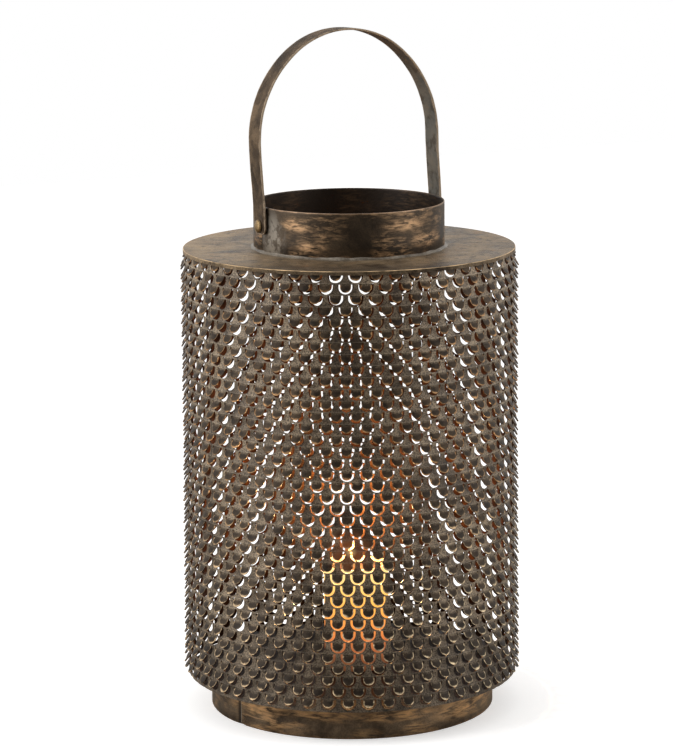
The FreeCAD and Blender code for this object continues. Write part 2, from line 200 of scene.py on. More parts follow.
def spaced(label):
    words = "".join(" " + letter if letter.isupper() else letter for letter in label)
    return words[0].upper() + words[1:]


def newMaterial(name):
    material = bpy.data.materials.new(name)
    material.use_nodes = True
    tree = material.node_tree
    return material, tree, tree.nodes["Principled BSDF"]


def objectPlace(tree):
    return tree.nodes.new("ShaderNodeTexCoord").outputs["Object"]


def splitPlace(tree, place):
    node = tree.nodes.new("ShaderNodeSeparateXYZ")
    tree.links.new(place, node.inputs[0])
    return node.outputs


def times(tree, value, share):
    return mathNode(tree, "MULTIPLY", value, share)


def pointValue(tree, label):
    node = tree.nodes.new("ShaderNodeAttribute")
    node.attribute_type = "GEOMETRY"
    node.attribute_name = label
    return node.outputs["Fac"]


def roughen(tree, shader, height, strength, depth):
    bump = tree.nodes.new("ShaderNodeBump")
    bump.inputs["Strength"].default_value = strength
    bump.inputs["Distance"].default_value = depth
    feed(tree, bump.inputs["Height"], height)
    tree.links.new(bump.outputs["Normal"], shader.inputs["Normal"])


def setFinish(tree, shader, colour, roughness, metallic, specular=None):
    tree.links.new(colour, shader.inputs["Base Color"])
    tree.links.new(roughness, shader.inputs["Roughness"])
    shader.inputs["Metallic"].default_value = metallic
    if specular is not None:
        shader.inputs["Specular IOR Level"].default_value = specular


def tint(red, green, blue):
    # a colour as it is read off a screen, 0 to 255
    def straight(part):
        part = part / 255.0
        return part / 12.92 if part <= 0.04045 else ((part + 0.055) / 1.055) ** 2.4
    return (straight(red), straight(green), straight(blue), 1.0)


# effects that several finishes share

patinaLook = {
    "cloudSpread": 0.2, "warmStep": 1.7, "warmStart": 0.78, "warmSoftness": 0.16, "warmStrength": 0.75,
    "pitLow": 0.36, "pitHigh": 0.62, "pit": tint(34, 28, 24),
    "roughLeast": 0.16, "roughFromPits": 0.25, "roughFromClouds": 0.3,
}


def buildPatina():
    # clouds of brown and grey tin with fine pits, copper showing through here and there
    group, entry, leave = newTree("Tin patina", [
        ("Place", "NodeSocketVector", None),
        ("Dark", "NodeSocketColor", tint(70, 58, 46)),
        ("Light", "NodeSocketColor", tint(150, 138, 122)),
        ("Copper", "NodeSocketColor", tint(168, 112, 66)),
        ("Cloud Scale", "NodeSocketFloat", 60.0),
        ("Cloud Balance", "NodeSocketFloat", 0.5),
        ("Copper Amount", "NodeSocketFloat", 0.2),
        ("Pit Scale", "NodeSocketFloat", 1100.0),
        ("Pit Amount", "NodeSocketFloat", 0.5),
    ], [("Color", "NodeSocketColor"), ("Roughness", "NodeSocketFloat"), ("Height", "NodeSocketFloat")])
    place = entry.outputs["Place"]
    clouds = noiseNode(group, place, entry.outputs["Cloud Scale"], 5.0, 0.62, 0.4)
    low = mathNode(group, "SUBTRACT", entry.outputs["Cloud Balance"], patinaLook["cloudSpread"])
    high = mathNode(group, "ADD", entry.outputs["Cloud Balance"], patinaLook["cloudSpread"])
    shade = rangeNode(group, clouds, low, high)
    colour = mixColour(group, shade, entry.outputs["Dark"], entry.outputs["Light"])
    warmScale = times(group, entry.outputs["Cloud Scale"], patinaLook["warmStep"])
    warmth = noiseNode(group, place, warmScale, 4.0, 0.6, 0.8)
    copperAmount = entry.outputs["Copper Amount"]
    warmEdge = mathNode(group, "SUBTRACT", patinaLook["warmStart"], times(group, copperAmount, 0.45))
    warmMask = rangeNode(group, warmth, warmEdge, mathNode(group, "ADD", warmEdge, patinaLook["warmSoftness"]))
    colour = mixColour(group, times(group, warmMask, patinaLook["warmStrength"]), colour, entry.outputs["Copper"])
    pits = noiseNode(group, place, entry.outputs["Pit Scale"], 2.0, 0.7)
    pitMask = rangeNode(group, pits, patinaLook["pitLow"], patinaLook["pitHigh"])
    pitShade = mathNode(group, "MULTIPLY", mathNode(group, "SUBTRACT", 1.0, pitMask), entry.outputs["Pit Amount"])
    colour = mixColour(group, pitShade, colour, patinaLook["pit"])
    group.links.new(colour, leave.inputs["Color"])
    rough = mathNode(group, "ADD", times(group, pits, patinaLook["roughFromPits"]),
                     times(group, clouds, patinaLook["roughFromClouds"]))
    rough = mathNode(group, "ADD", rough, patinaLook["roughLeast"], clamp=True)
    group.links.new(rough, leave.inputs["Roughness"])
    height = mathNode(group, "ADD", times(group, pitMask, 0.6), times(group, clouds, 0.4))
    group.links.new(height, leave.inputs["Height"])
    return group


def buildRoundPlace():
    # unrolls a place on a round wall: arc length, height and radius
    group, entry, leave = newTree("Round the axis", [("Place", "NodeSocketVector", None)],
                                  [("Unrolled", "NodeSocketVector"), ("Turn", "NodeSocketFloat"),
                                   ("Radius", "NodeSocketFloat"), ("Level", "NodeSocketFloat")])
    split = splitPlace(group, entry.outputs["Place"])
    turn = mathNode(group, "ARCTAN2", split["Y"], split["X"])
    square = mathNode(group, "ADD", times(group, split["X"], split["X"]), times(group, split["Y"], split["Y"]))
    radius = mathNode(group, "SQRT", square)
    join = group.nodes.new("ShaderNodeCombineXYZ")
    group.links.new(times(group, turn, 0.1), join.inputs["X"])   # near enough for walls of about 0.1 m radius
    group.links.new(split["Z"], join.inputs["Y"])
    group.links.new(radius, join.inputs["Z"])
    group.links.new(join.outputs[0], leave.inputs["Unrolled"])
    group.links.new(turn, leave.inputs["Turn"])
    group.links.new(radius, leave.inputs["Radius"])
    group.links.new(split["Z"], leave.inputs["Level"])
    return group


def buildRubs():
    # long streaks where hands and cloths have rubbed the patina through
    group, entry, leave = newTree("Rubbed streaks", [
        ("Place", "NodeSocketVector", None),
        ("Along", "NodeSocketFloat", 30.0),
        ("Across", "NodeSocketFloat", 260.0),
        ("Coverage", "NodeSocketFloat", 0.4),
        ("Softness", "NodeSocketFloat", 0.12),
    ], [("Mask", "NodeSocketFloat")])
    stretch = group.nodes.new("ShaderNodeVectorMath")
    stretch.operation = "MULTIPLY"
    sizes = group.nodes.new("ShaderNodeCombineXYZ")
    group.links.new(entry.outputs["Along"], sizes.inputs["X"])
    group.links.new(entry.outputs["Across"], sizes.inputs["Y"])
    group.links.new(entry.outputs["Along"], sizes.inputs["Z"])
    group.links.new(entry.outputs["Place"], stretch.inputs[0])
    group.links.new(sizes.outputs[0], stretch.inputs[1])
    streaks = noiseNode(group, stretch.outputs[0], 1.0, 6.0, 0.68, 0.5)
    edge = mathNode(group, "SUBTRACT", 0.82, times(group, entry.outputs["Coverage"], 0.55))
    mask = rangeNode(group, streaks, edge, mathNode(group, "ADD", edge, entry.outputs["Softness"]))
    group.links.new(mask, leave.inputs["Mask"])
    return group


def buildWear():
    # bare metal along worn edges, broken up so that it doesn't read as a drawn line
    group, entry, leave = newTree("Edge wear", [
        ("Place", "NodeSocketVector", None),
        ("Edge", "NodeSocketFloat", 0.0),
        ("Width", "NodeSocketFloat", 0.5),
        ("Grain", "NodeSocketFloat", 400.0),
    ], [("Mask", "NodeSocketFloat")])
    grain = noiseNode(group, entry.outputs["Place"], entry.outputs["Grain"], 3.0, 0.6)
    shift = times(group, mathNode(group, "SUBTRACT", grain, 0.5), 0.9)
    edge = mathNode(group, "ADD", entry.outputs["Edge"], shift)
    start = mathNode(group, "SUBTRACT", 1.0, entry.outputs["Width"])
    mask = rangeNode(group, edge, start, mathNode(group, "ADD", start, 0.35))
    group.links.new(mask, leave.inputs["Mask"])
    return group


front = {
    "turn": -116.2,           # the side of the lantern that the photograph shows, in degrees round its axis
    "flameSeen": (-0.0557, -0.1119, 0.148),   # where the flame shines through the front sheet
    "wallBehindFlame": (0.0547, 0.1113, 0.112),
}


def buildFacing():
    # how far a place lies towards the photographed side and to the right of it
    group, entry, leave = newTree("Facing", [("Place", "NodeSocketVector", None)],
                                  [("Ahead", "NodeSocketFloat"), ("Aside", "NodeSocketFloat")])
    turn = math.radians(front["turn"])
    for label, direction in (("Ahead", (math.cos(turn), math.sin(turn), 0.0)),
                             ("Aside", (-math.sin(turn), math.cos(turn), 0.0))):
        along = group.nodes.new("ShaderNodeVectorMath")
        along.operation = "DOT_PRODUCT"
        group.links.new(entry.outputs["Place"], along.inputs[0])
        along.inputs[1].default_value = direction
        group.links.new(along.outputs["Value"], leave.inputs[label])
    return group


def nearSpot(tree, place, centre, inner, outer, peak):
    # fades from peak to nothing between two distances from a point
    away = tree.nodes.new("ShaderNodeVectorMath")
    away.operation = "DISTANCE"
    feed(tree, away.inputs[0], place)
    away.inputs[1].default_value = centre
    return rangeNode(tree, away.outputs["Value"], inner, outer, peak, 0.0)


def wallSpots(tree, rolled, spots):
    # soft round patches on a round wall, each given by its turn, level and half sizes
    core, rim = 0.35, 1.3
    total = None
    for turn, level, halfTurn, halfLevel in spots:
        across = mathNode(tree, "DIVIDE", mathNode(tree, "SUBTRACT", rolled.outputs["Turn"], math.radians(turn)),
                          math.radians(halfTurn))
        upward = mathNode(tree, "DIVIDE", mathNode(tree, "SUBTRACT", rolled.outputs["Level"], level * mm),
                          halfLevel * mm)
        square = mathNode(tree, "ADD", times(tree, across, across), times(tree, upward, upward))
        patch = rangeNode(tree, mathNode(tree, "SQRT", square), core, rim, 1.0, 0.0)
        total = patch if total is None else mathNode(tree, "MAXIMUM", total, patch)
    return total


tinPatina = buildPatina()
roundTheAxis = buildRoundPlace()
facing = buildFacing()
rubbedStreaks = buildRubs()
edgeWear = buildWear()
print("shared effects built")


# the punched drum: four sheets of bent tongues

punch = {
    "columns": 53,            # tongues round the whole drum
    "rows": 38,
    "rowPitch": 8.63,
    "firstHoleFoot": 347.2,   # height of the lowest point of the top row's holes
    "oddRowTurn": -117.5,     # a tongue of the odd rows stands here, in degrees
    "drumRadius": 125.0,
    "sheetTop": 354.7,
    "sheetFoot": 26.05,
    "sheetThickness": 0.8,
    "cellHead": 0.315,        # a cell begins this far above its hinge
    "sideLevels": (1.3, 3.6, 6.2),
    "holeHalf": 5.55,
    "holeStraight": 2.45,
    "tongueHalf": 4.0,
    "tongueStraight": 2.6,
    "tongueRows": (0.09, 0.28, 0.6, 0.86, 1.0),
    "tongueAngle": 28.0,
    "angleRise": 4.0,         # the lowest row's tongues stand out this much more
    "angleScatter": 2.2,
    "angleLimit": 4.0,
    "twistScatter": 0.05,
    "bendLength": 1.3,
    "tongueDome": 0.45,
    "hingeBulge": 0.45,       # the sheet swells out a little round each hinge
    "bulgeReach": 1.5,
    "bulgeHalf": 6.6,
    "bulgeFade": 2.2,
    "bulgeLeast": 0.35,
    "foldRimFoot": 352.7,     # the top plate's folded rim holds the sheet flat above this
    "seamTurn": 8.0,
    "flareTop": 210.0,        # below this the drum widens a little, as the photograph shows
    "flare": 1.2,
    "plainMargin": 12.0,      # next to the sheet's top and foot the lift fades out
    "farTurn": 2.8,           # the punching runs on round the back, a little turned and lifted
    "farLift": 1.75,
    "farStart": 88.0,
    "farFullLeft": 112.0,
    "farFullRight": 135.0,
    "seed": 12,
}


def punchedCell():
    # one punched cell, unrolled: u along the sheet, v down from the hinge, then whether the point is on the tongue,
    # how far across it and how far along it
    pitch = 2 * math.pi * punch["drumRadius"] / punch["columns"]
    half, straight = punch["holeHalf"], punch["holeStraight"]
    top, foot = -punch["cellHead"], punch["rowPitch"] - punch["cellHead"]
    across = 10
    outer = [(-pitch / 2 + pitch * k / across, top) for k in range(across)]
    outer += [(pitch / 2, level) for level in (top, *punch["sideLevels"])]
    outer += [(pitch / 2 - pitch * k / across, foot) for k in range(across)]
    outer += [(-pitch / 2, level) for level in (foot, *reversed(punch["sideLevels"]))]
    width = punch["tongueHalf"]
    hinge = [-half] + [-width + width * k / 4 for k in range(9)]
    inner = [(u, 0.0) for u in hinge]
    path = 2 * straight + math.pi * half
    stepCount = 18
    for k in range(stepCount + 1):
        walked = path * k / stepCount
        if walked < straight:
            inner.append((half, walked))
        elif walked > path - straight:
            inner.append((-half, path - walked))
        else:
            swing = (walked - straight) / half
            inner.append((half * math.cos(swing), straight + half * math.sin(swing)))
    inner = inner[:-1]
    count = len(outer)
    points = [(u, v, 0.0, 0.0, 0.0) for u, v in outer]
    points += [(u, v, 0.0, 0.0, 0.0) for u, v in inner]
    faces, kinds = [], []
    for k in range(count):
        after = (k + 1) % count
        faces.append((k, count + k, count + after, after))
        kinds.append(0)
    previous = [count + 1 + k for k in range(9)]
    for share in punch["tongueRows"]:
        current = []
        for k in range(9):
            swing = math.radians(-90 + 180 * k / 8)
            rootU = -width + width * k / 4
            tipU = width * math.sin(swing)
            reach = punch["tongueStraight"] + width * math.cos(swing)
            blend = min(1.0, share * 1.6)
            u = rootU + (tipU - rootU) * blend
            current.append(len(points))
            points.append((u, share * reach, 1.0, tipU / width, share))
        for k in range(8):
            faces.append((previous[k], current[k], current[k + 1], previous[k + 1]))
            kinds.append(1)
        previous = current
    return np.array(points), np.array(faces), np.array(kinds)


def sheetPoints(cell, turn, row, generator):
    # lays one cell on the drum and bends its tongue out
    u, v, isTongue, across, along = cell.T
    radius = punch["drumRadius"]
    holeTop = punch["firstHoleFoot"] - row * punch["rowPitch"] + punch["holeHalf"] + punch["holeStraight"]
    pitch = 2 * math.pi * radius / punch["columns"]
    least, half, fade, far = punch["bulgeLeast"], punch["bulgeHalf"], punch["bulgeFade"], punch["bulgeReach"]
    crest = least + (1 - least) * np.clip((half - np.abs(u)) / fade, 0, 1)
    nextCrest = least + (1 - least) * np.clip((half - np.abs(np.abs(u) - pitch / 2)) / fade, 0, 1)
    bulge = punch["hingeBulge"] * (crest * np.exp(-(v / far) ** 2)
                                   + nextCrest * np.exp(-((punch["rowPitch"] - v) / far) ** 2))
    start = max(0.0, holeTop - punch["foldRimFoot"] + 0.6)
    if start > 0:
        bulge = bulge * np.clip((v - start) / 2.0, 0, 1)
    lean = punch["tongueAngle"] + punch["angleRise"] * row / (punch["rows"] - 1)
    limit = punch["angleLimit"]
    angle = math.radians(lean + np.clip(generator.normal(0, punch["angleScatter"]), -limit, limit))
    twist = generator.normal(0, punch["twistScatter"])
    length = np.clip(v - start, 0, None)
    bend = np.clip(length / punch["bendLength"], 0, 1)
    past = length - punch["bendLength"] / 2
    out = np.where(length < punch["bendLength"], length * bend * 0.5, past) * math.sin(angle)
    down = np.minimum(v, start) + length * (1 - (1 - math.cos(angle)) * bend)
    dome = punch["tongueDome"] * (1 - across ** 2) * np.sin(np.clip(along, 0, 1) * math.pi * 0.8)
    hingeBulge = 0.0 if start > 0 else punch["hingeBulge"]
    away = np.where(isTongue > 0, hingeBulge + out + dome + twist * u * along, bulge)
    drop = np.where(isTongue > 0, down, v)
    level = holeTop - drop
    # the top row's hinges are squeezed in under the folded rim
    squeeze = 1.2
    share = (drop + punch["cellHead"]) / (squeeze + punch["cellHead"])
    squeezed = punch["sheetTop"] - share * (punch["sheetTop"] - holeTop + squeeze)
    level = np.where((row == 0) & (drop < squeeze), squeezed, level)
    level = np.where((row == punch["rows"] - 1) & (v > punch["rowPitch"] - 0.4) & (isTongue == 0),
                     punch["sheetFoot"], level)
    heading = turn + u / radius
    side = (np.degrees(heading) - front["turn"] + 180.0) % 360.0 - 180.0
    full = np.where(side < 0, punch["farFullLeft"], punch["farFullRight"])
    share = np.clip((np.abs(side) - punch["farStart"]) / (full - punch["farStart"]), 0, 1)
    heading = heading + math.radians(punch["farTurn"]) * share
    margin = punch["plainMargin"]
    room = np.clip((punch["sheetTop"] - level) / margin, 0, 1) * np.clip((level - punch["sheetFoot"]) / margin, 0, 1)
    level = level + punch["farLift"] * share * room
    low = np.clip((punch["flareTop"] - level) / (punch["flareTop"] - punch["sheetFoot"]), 0, 1)
    reach = radius + away + punch["flare"] * low
    return np.stack([reach * np.cos(heading), reach * np.sin(heading), level], axis=1)


def mergeTwins(points, faces, kinds, values, step=0.004):
    # neighbouring cells share their border points
    keys = np.round(points / step).astype(np.int64)
    first, same = np.unique(keys, axis=0, return_index=True, return_inverse=True)[1:]
    faces = same.reshape(-1)[faces]
    ordered = np.sort(faces, axis=1)
    whole = (ordered[:, 1:] != ordered[:, :-1]).all(axis=1)
    return points[first], faces[whole], kinds[whole], {label: column[first] for label, column in values.items()}


def thicken(points, faces, kinds, values, thickness):
    # gives the sheet its back and the cut edges, as one closed shell
    corners = points[faces]
    normal = np.cross(corners[:, 2] - corners[:, 0], corners[:, 3] - corners[:, 1])
    gathered = np.zeros_like(points)
    for k in range(4):
        np.add.at(gathered, faces[:, k], normal)
    gathered /= np.maximum(np.linalg.norm(gathered, axis=1, keepdims=True), 1e-12)
    back = points - gathered * thickness
    count = len(points)
    edges = np.concatenate([faces[:, [k, (k + 1) % 4]] for k in range(4)])
    owner = np.tile(np.arange(len(faces)), 4)
    ordered = np.sort(edges, axis=1)
    index, uses = np.unique(ordered, axis=0, return_index=True, return_counts=True)[1:]
    border = index[uses == 1]
    rim = np.stack([edges[border, 1], edges[border, 0], edges[border, 0] + count, edges[border, 1] + count], axis=1)
    everyFace = np.concatenate([faces, faces[:, ::-1] + count, rim])
    slots = np.concatenate([kinds, kinds * 0 + 3, kinds[owner[border]] * 0 + 2])
    both = {label: np.concatenate([column, column]) for label, column in values.items()}
    return np.concatenate([points, back]), everyFace, slots, both


def buildSheets(materials):
    cell, cellFaces, cellKinds = punchedCell()
    generator = np.random.default_rng(punch["seed"])
    fromHinge = np.minimum(np.abs(cell[:, 1]), np.abs(punch["rowPitch"] - cell[:, 1]))
    # crest marks the web next to each hinge, where a painted highlight goes
    crest = np.where(cell[:, 2] > 0, 0.0, np.clip(1.0 - fromHinge / 0.7, 0, 1))
    names = {0: "drum_panel_back", 1: "drum_panel_left", 2: "drum_panel_front", 3: "drum_panel_right"}
    gathered = {quarter: [] for quarter in names}
    columnTurn = 360.0 / punch["columns"]
    for row in range(punch["rows"]):
        for column in range(punch["columns"]):
            turn = punch["oddRowTurn"] + (column + (0.0 if row % 2 else 0.5)) * columnTurn
            quarter = int(((turn - punch["seamTurn"]) % 360.0) // 90.0)
            tone = generator.random()
            points = sheetPoints(cell, math.radians(turn), row, generator)
            gathered[quarter].append((points, tone))
    for quarter, cells in gathered.items():
        points = np.concatenate([item[0] for item in cells])
        size = len(cell)
        faces = np.concatenate([cellFaces + size * k for k in range(len(cells))])
        kinds = np.tile(cellKinds, len(cells))
        values = {
            "along": np.tile(cell[:, 4], len(cells)),
            "across": np.tile(np.abs(cell[:, 3]), len(cells)),
            "tone": np.repeat([item[1] for item in cells], size),
            "crest": np.tile(crest, len(cells)),
        }
        points, faces, kinds, values = mergeTwins(points, faces, kinds, values)
        points, faces, slots, values = thicken(points, faces, kinds, values, punch["sheetThickness"])
        piece = placeMesh(names[quarter].replace("drum_panel", "punched_sheet"), points, faces.tolist(), materials,
                          slots, values, 42.0)
        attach(piece, "lantern")
        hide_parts(names[quarter])


sheetTint = {
    "webDark": tint(82, 67, 51),
    "webLight": tint(178, 158, 132),
    "webCopper": tint(146, 108, 74),
    # painted highlight along the hinge crests
    "webCrest": tint(208, 194, 172),
    "tongueDeep": tint(30, 22, 15),
    "tongueDark": tint(38, 29, 20),
    "tongueLight": tint(84, 68, 50),
    "rimCopper": tint(202, 156, 106),
    # painted highlight on the tongue rims low down on the right
    "rimPaintedHighlight": tint(255, 230, 188),
    "insideDark": tint(34, 21, 13),
    "insideLight": tint(88, 54, 34),
    "insideCopper": tint(150, 88, 46),
    # painted shade inside the drum towards its foot
    "insidePaintedShade": tint(12, 8, 5),
    "cutDark": tint(46, 33, 22),
    "cutLight": tint(92, 68, 48),
    "seam": tint(24, 18, 14),
    "seamTurns": (10.2, 100.8, -172.0, -82.0),
    # painted shade at the drum's foot, and the dark of the painted reflection strip
    "footDark": tint(30, 23, 17),
    "footPaintedShade": 0.47,
    "stripPaintedReflection": 0.4,        # a painted dark reflection runs down as a strip from the front of the plate
    # painted glow round the slit that the flame shines through
    "glowEdge": tint(186, 104, 52),
    "glowCore": tint(255, 214, 150),
    # painted light from the flame on the inside wall behind it
    "wallPaintedFlameLight": tint(180, 128, 90),
}


def drumPaintedShade(tree, place, colour):
    # painted shade: the foot of the drum is darker, and a strip down from the plate's front is darker as a painted
    # reflection
    height = splitPlace(tree, place)["Z"]
    facingPlace = useGroup(tree, facing, place=place)
    foot = rangeNode(tree, height, 0.03, 0.13, sheetTint["footPaintedShade"], 0.0)
    aside = mathNode(tree, "ABSOLUTE", mathNode(tree, "ADD", facingPlace.outputs["Aside"], 0.003))
    ahead = rangeNode(tree, facingPlace.outputs["Ahead"], 0.0, 0.05)
    strip = times(tree, rangeNode(tree, aside, 0.003, 0.016, sheetTint["stripPaintedReflection"], 0.0),
                  rangeNode(tree, height, 0.2, 0.32))
    dark = mathNode(tree, "MAXIMUM", foot, times(tree, strip, ahead))
    return mixColour(tree, dark, colour, sheetTint["footDark"])


def paintedFlameGlow(tree, place, colour):
    # painted glow: the sheet is coloured warm copper round the slit that the flame shines through, standing in for
    # the flame's light
    core = nearSpot(tree, place, front["flameSeen"], 0.0, 0.0055, 0.9)
    halo = nearSpot(tree, place, front["flameSeen"], 0.002, 0.022, 0.42)
    colour = mixColour(tree, halo, colour, sheetTint["glowEdge"])
    return mixColour(tree, core, colour, sheetTint["glowCore"])


def seamLine(tree, turn, radius):
    # a thin dark upright line at each lapped seam
    total = None
    for seam in sheetTint["seamTurns"]:
        away = mathNode(tree, "ABSOLUTE", mathNode(tree, "SUBTRACT", turn, math.radians(seam)))
        line = rangeNode(tree, away, 0.25 / radius, 0.75 / radius, 1.0, 0.0)
        total = line if total is None else mathNode(tree, "MAXIMUM", total, line)
    return total


def webPatina(tree, place):
    # the speckled tin between the tongues, which runs on over their hinges
    return useGroup(tree, tinPatina, place=place, dark=sheetTint["webDark"], light=sheetTint["webLight"],
                    copper=sheetTint["webCopper"], cloudScale=38.0, cloudBalance=0.47, copperAmount=0.12,
                    pitScale=950.0, pitAmount=0.85)


def webTin():
    material, tree, shader = newMaterial("Sheet tin")
    place = objectPlace(tree)
    rolled = useGroup(tree, roundTheAxis, place=place)
    patina = webPatina(tree, place)
    # painted highlight along the crest at each hinge, where the sheet's swell catches the light
    crest = rangeNode(tree, pointValue(tree, "crest"), 0.45, 1.0, 0.0, 0.3)
    colour = mixColour(tree, crest, patina.outputs["Color"], sheetTint["webCrest"])
    # painted shade at the drum's foot, a painted dark reflection in the strip, then a painted glow round the flame's
    # slit
    colour = paintedFlameGlow(tree, place, drumPaintedShade(tree, place, colour))
    seam = seamLine(tree, rolled.outputs["Turn"], punch["drumRadius"])
    colour = mixColour(tree, times(tree, seam, 0.85), colour, sheetTint["seam"])
    setFinish(tree, shader, colour, patina.outputs["Roughness"], 0.2)
    roughen(tree, shader, patina.outputs["Height"], 0.45, 0.0003)
    return material


def tongueTin():
    material, tree, shader = newMaterial("Tongue tin")
    place = objectPlace(tree)
    along, across, tone = pointValue(tree, "along"), pointValue(tree, "across"), pointValue(tree, "tone")
    patina = useGroup(tree, tinPatina, place=place, dark=sheetTint["tongueDark"], light=sheetTint["tongueLight"],
                      copper=sheetTint["rimCopper"], cloudScale=150.0, cloudBalance=0.52, copperAmount=0.12,
                      pitScale=1700.0, pitAmount=0.4)
    bent = rangeNode(tree, along, 0.0, 0.42, 0.12, 1.0)
    colour = mixColour(tree, bent, webPatina(tree, place).outputs["Color"], patina.outputs["Color"])
    colour = mixColour(tree, times(tree, tone, 0.5), colour, sheetTint["tongueDeep"])
    # painted shade at the drum's foot and a painted dark reflection in the strip
    colour = drumPaintedShade(tree, place, colour)
    # the cut rim is worn bright; low down on the right it also takes a painted highlight, so it is brightest there
    rimward = mathNode(tree, "MAXIMUM", along, times(tree, across, 0.97))
    wear = useGroup(tree, edgeWear, place=place, edge=rimward, width=0.21, grain=170.0)
    rim = times(tree, wear.outputs["Mask"], rangeNode(tree, along, 0.12, 0.5))
    facingPlace = useGroup(tree, facing, place=place)
    lowRightHighlight = times(tree, rangeNode(tree, facingPlace.outputs["Aside"], -0.07, 0.05, 0.6, 1.0),
                     rangeNode(tree, splitPlace(tree, place)["Z"], 0.09, 0.22, 1.0, 0.0))
    rimWearAndHighlight = mixColour(tree, lowRightHighlight, sheetTint["rimCopper"], sheetTint["rimPaintedHighlight"])
    colour = mixColour(tree, times(tree, rim, 0.9), colour, rimWearAndHighlight)
    # painted glow round the slit that the flame shines through
    colour = paintedFlameGlow(tree, place, colour)
    setFinish(tree, shader, colour, patina.outputs["Roughness"], 0.35, 0.2)
    roughen(tree, shader, patina.outputs["Height"], 0.4, 0.0002)
    return material


def cutEdgeTin():
    material, tree, shader = newMaterial("Cut edge")
    patina = useGroup(tree, tinPatina, place=objectPlace(tree), dark=sheetTint["cutDark"],
                      light=sheetTint["cutLight"], copper=sheetTint["rimCopper"], cloudScale=200.0,
                      cloudBalance=0.5, copperAmount=0.4, pitScale=1800.0, pitAmount=0.3)
    setFinish(tree, shader, patina.outputs["Color"], patina.outputs["Roughness"], 0.6)
    return material


def insideTin():
    material, tree, shader = newMaterial("Inside tin")
    place = objectPlace(tree)
    patina = useGroup(tree, tinPatina, place=place, dark=sheetTint["insideDark"], light=sheetTint["insideLight"],
                      copper=sheetTint["insideCopper"], cloudScale=70.0, cloudBalance=0.5, copperAmount=0.3,
                      pitScale=1200.0, pitAmount=0.35)
    # painted light from the flame, in copper, on the wall behind it, and painted shade, nearly black, towards the
    # foot
    behind = nearSpot(tree, place, front["wallBehindFlame"], 0.012, 0.066, 0.95)
    colour = mixColour(tree, behind, patina.outputs["Color"], sheetTint["wallPaintedFlameLight"])
    low = rangeNode(tree, splitPlace(tree, place)["Z"], 0.035, 0.11, 0.92, 0.0)
    colour = mixColour(tree, low, colour, sheetTint["insidePaintedShade"])
    setFinish(tree, shader, colour, patina.outputs["Roughness"], 0.25, 0.1)
    roughen(tree, shader, patina.outputs["Height"], 0.3, 0.0002)
    return material


buildSheets([webTin(), tongueTin(), cutEdgeTin(), insideTin()])
print("punched sheets built")


# top plate, collar and base ring

plate = {
    "radius": 126.0, "top": 355.7, "thickness": 0.9, "foldFoot": 352.75, "foldRound": 0.7, "hole": 71.6,
    "dark": tint(66, 53, 39), "light": tint(180, 154, 120), "copper": tint(170, 124, 80),
    "paintedShadow": tint(40, 30, 22), "edgeBright": tint(246, 210, 162), "streak": tint(186, 168, 144),
    "spot": tint(44, 33, 24), "nearCollar": tint(112, 102, 88),
    # painted shadow towards the front, where the collar shades the plate, and painted shade towards the right
    "frontPaintedShadow": 0.68, "rightPaintedShade": 0.17, "ripple": 0.12,
}


def plateFinish():
    material, tree, shader = newMaterial("Top plate tin")
    place = objectPlace(tree)
    rolled = useGroup(tree, roundTheAxis, place=place)
    patina = useGroup(tree, tinPatina, place=place, dark=plate["dark"], light=plate["light"], copper=plate["copper"],
                      cloudScale=34.0, cloudBalance=0.47, copperAmount=0.4, pitScale=700.0, pitAmount=0.45)
    streaks = useGroup(tree, rubbedStreaks, place=place, along=70.0, across=160.0, coverage=0.6, softness=0.2)
    colour = mixColour(tree, times(tree, streaks.outputs["Mask"], 0.45), patina.outputs["Color"], plate["streak"])
    spots = rangeNode(tree, noiseNode(tree, place, 150.0, 3.0, 0.6), 0.54, 0.68, 0.0, 0.65)
    colour = mixColour(tree, spots, colour, plate["spot"])
    # the plate is darker towards the photographed side and the right
    # painted shadow from the collar towards the front, and painted shade towards the right
    facingPlace = useGroup(tree, facing, place=place)
    ahead = rangeNode(tree, facingPlace.outputs["Ahead"], 0.06, 0.115, 0.0, plate["frontPaintedShadow"])
    colour = mixColour(tree, ahead, colour, plate["paintedShadow"])
    right = rangeNode(tree, facingPlace.outputs["Aside"], 0.0, 0.09, 0.0, plate["rightPaintedShade"])
    colour = mixColour(tree, right, colour, plate["paintedShadow"])
    wear = useGroup(tree, edgeWear, place=place, edge=pointValue(tree, "wear"), width=0.3, grain=70.0)
    colour = mixColour(tree, wear.outputs["Mask"], colour, plate["edgeBright"])
    foot = rangeNode(tree, rolled.outputs["Radius"], 0.0735, 0.083, 0.5, 0.0)
    colour = mixColour(tree, foot, colour, plate["nearCollar"])
    setFinish(tree, shader, colour, patina.outputs["Roughness"], 0.4, 0.15)
    dents = noiseNode(tree, place, 70.0, 4.0, 0.62)
    height = mathNode(tree, "ADD", times(tree, dents, 2.2), patina.outputs["Height"])
    roughen(tree, shader, height, 0.6, 0.0007)
    return material


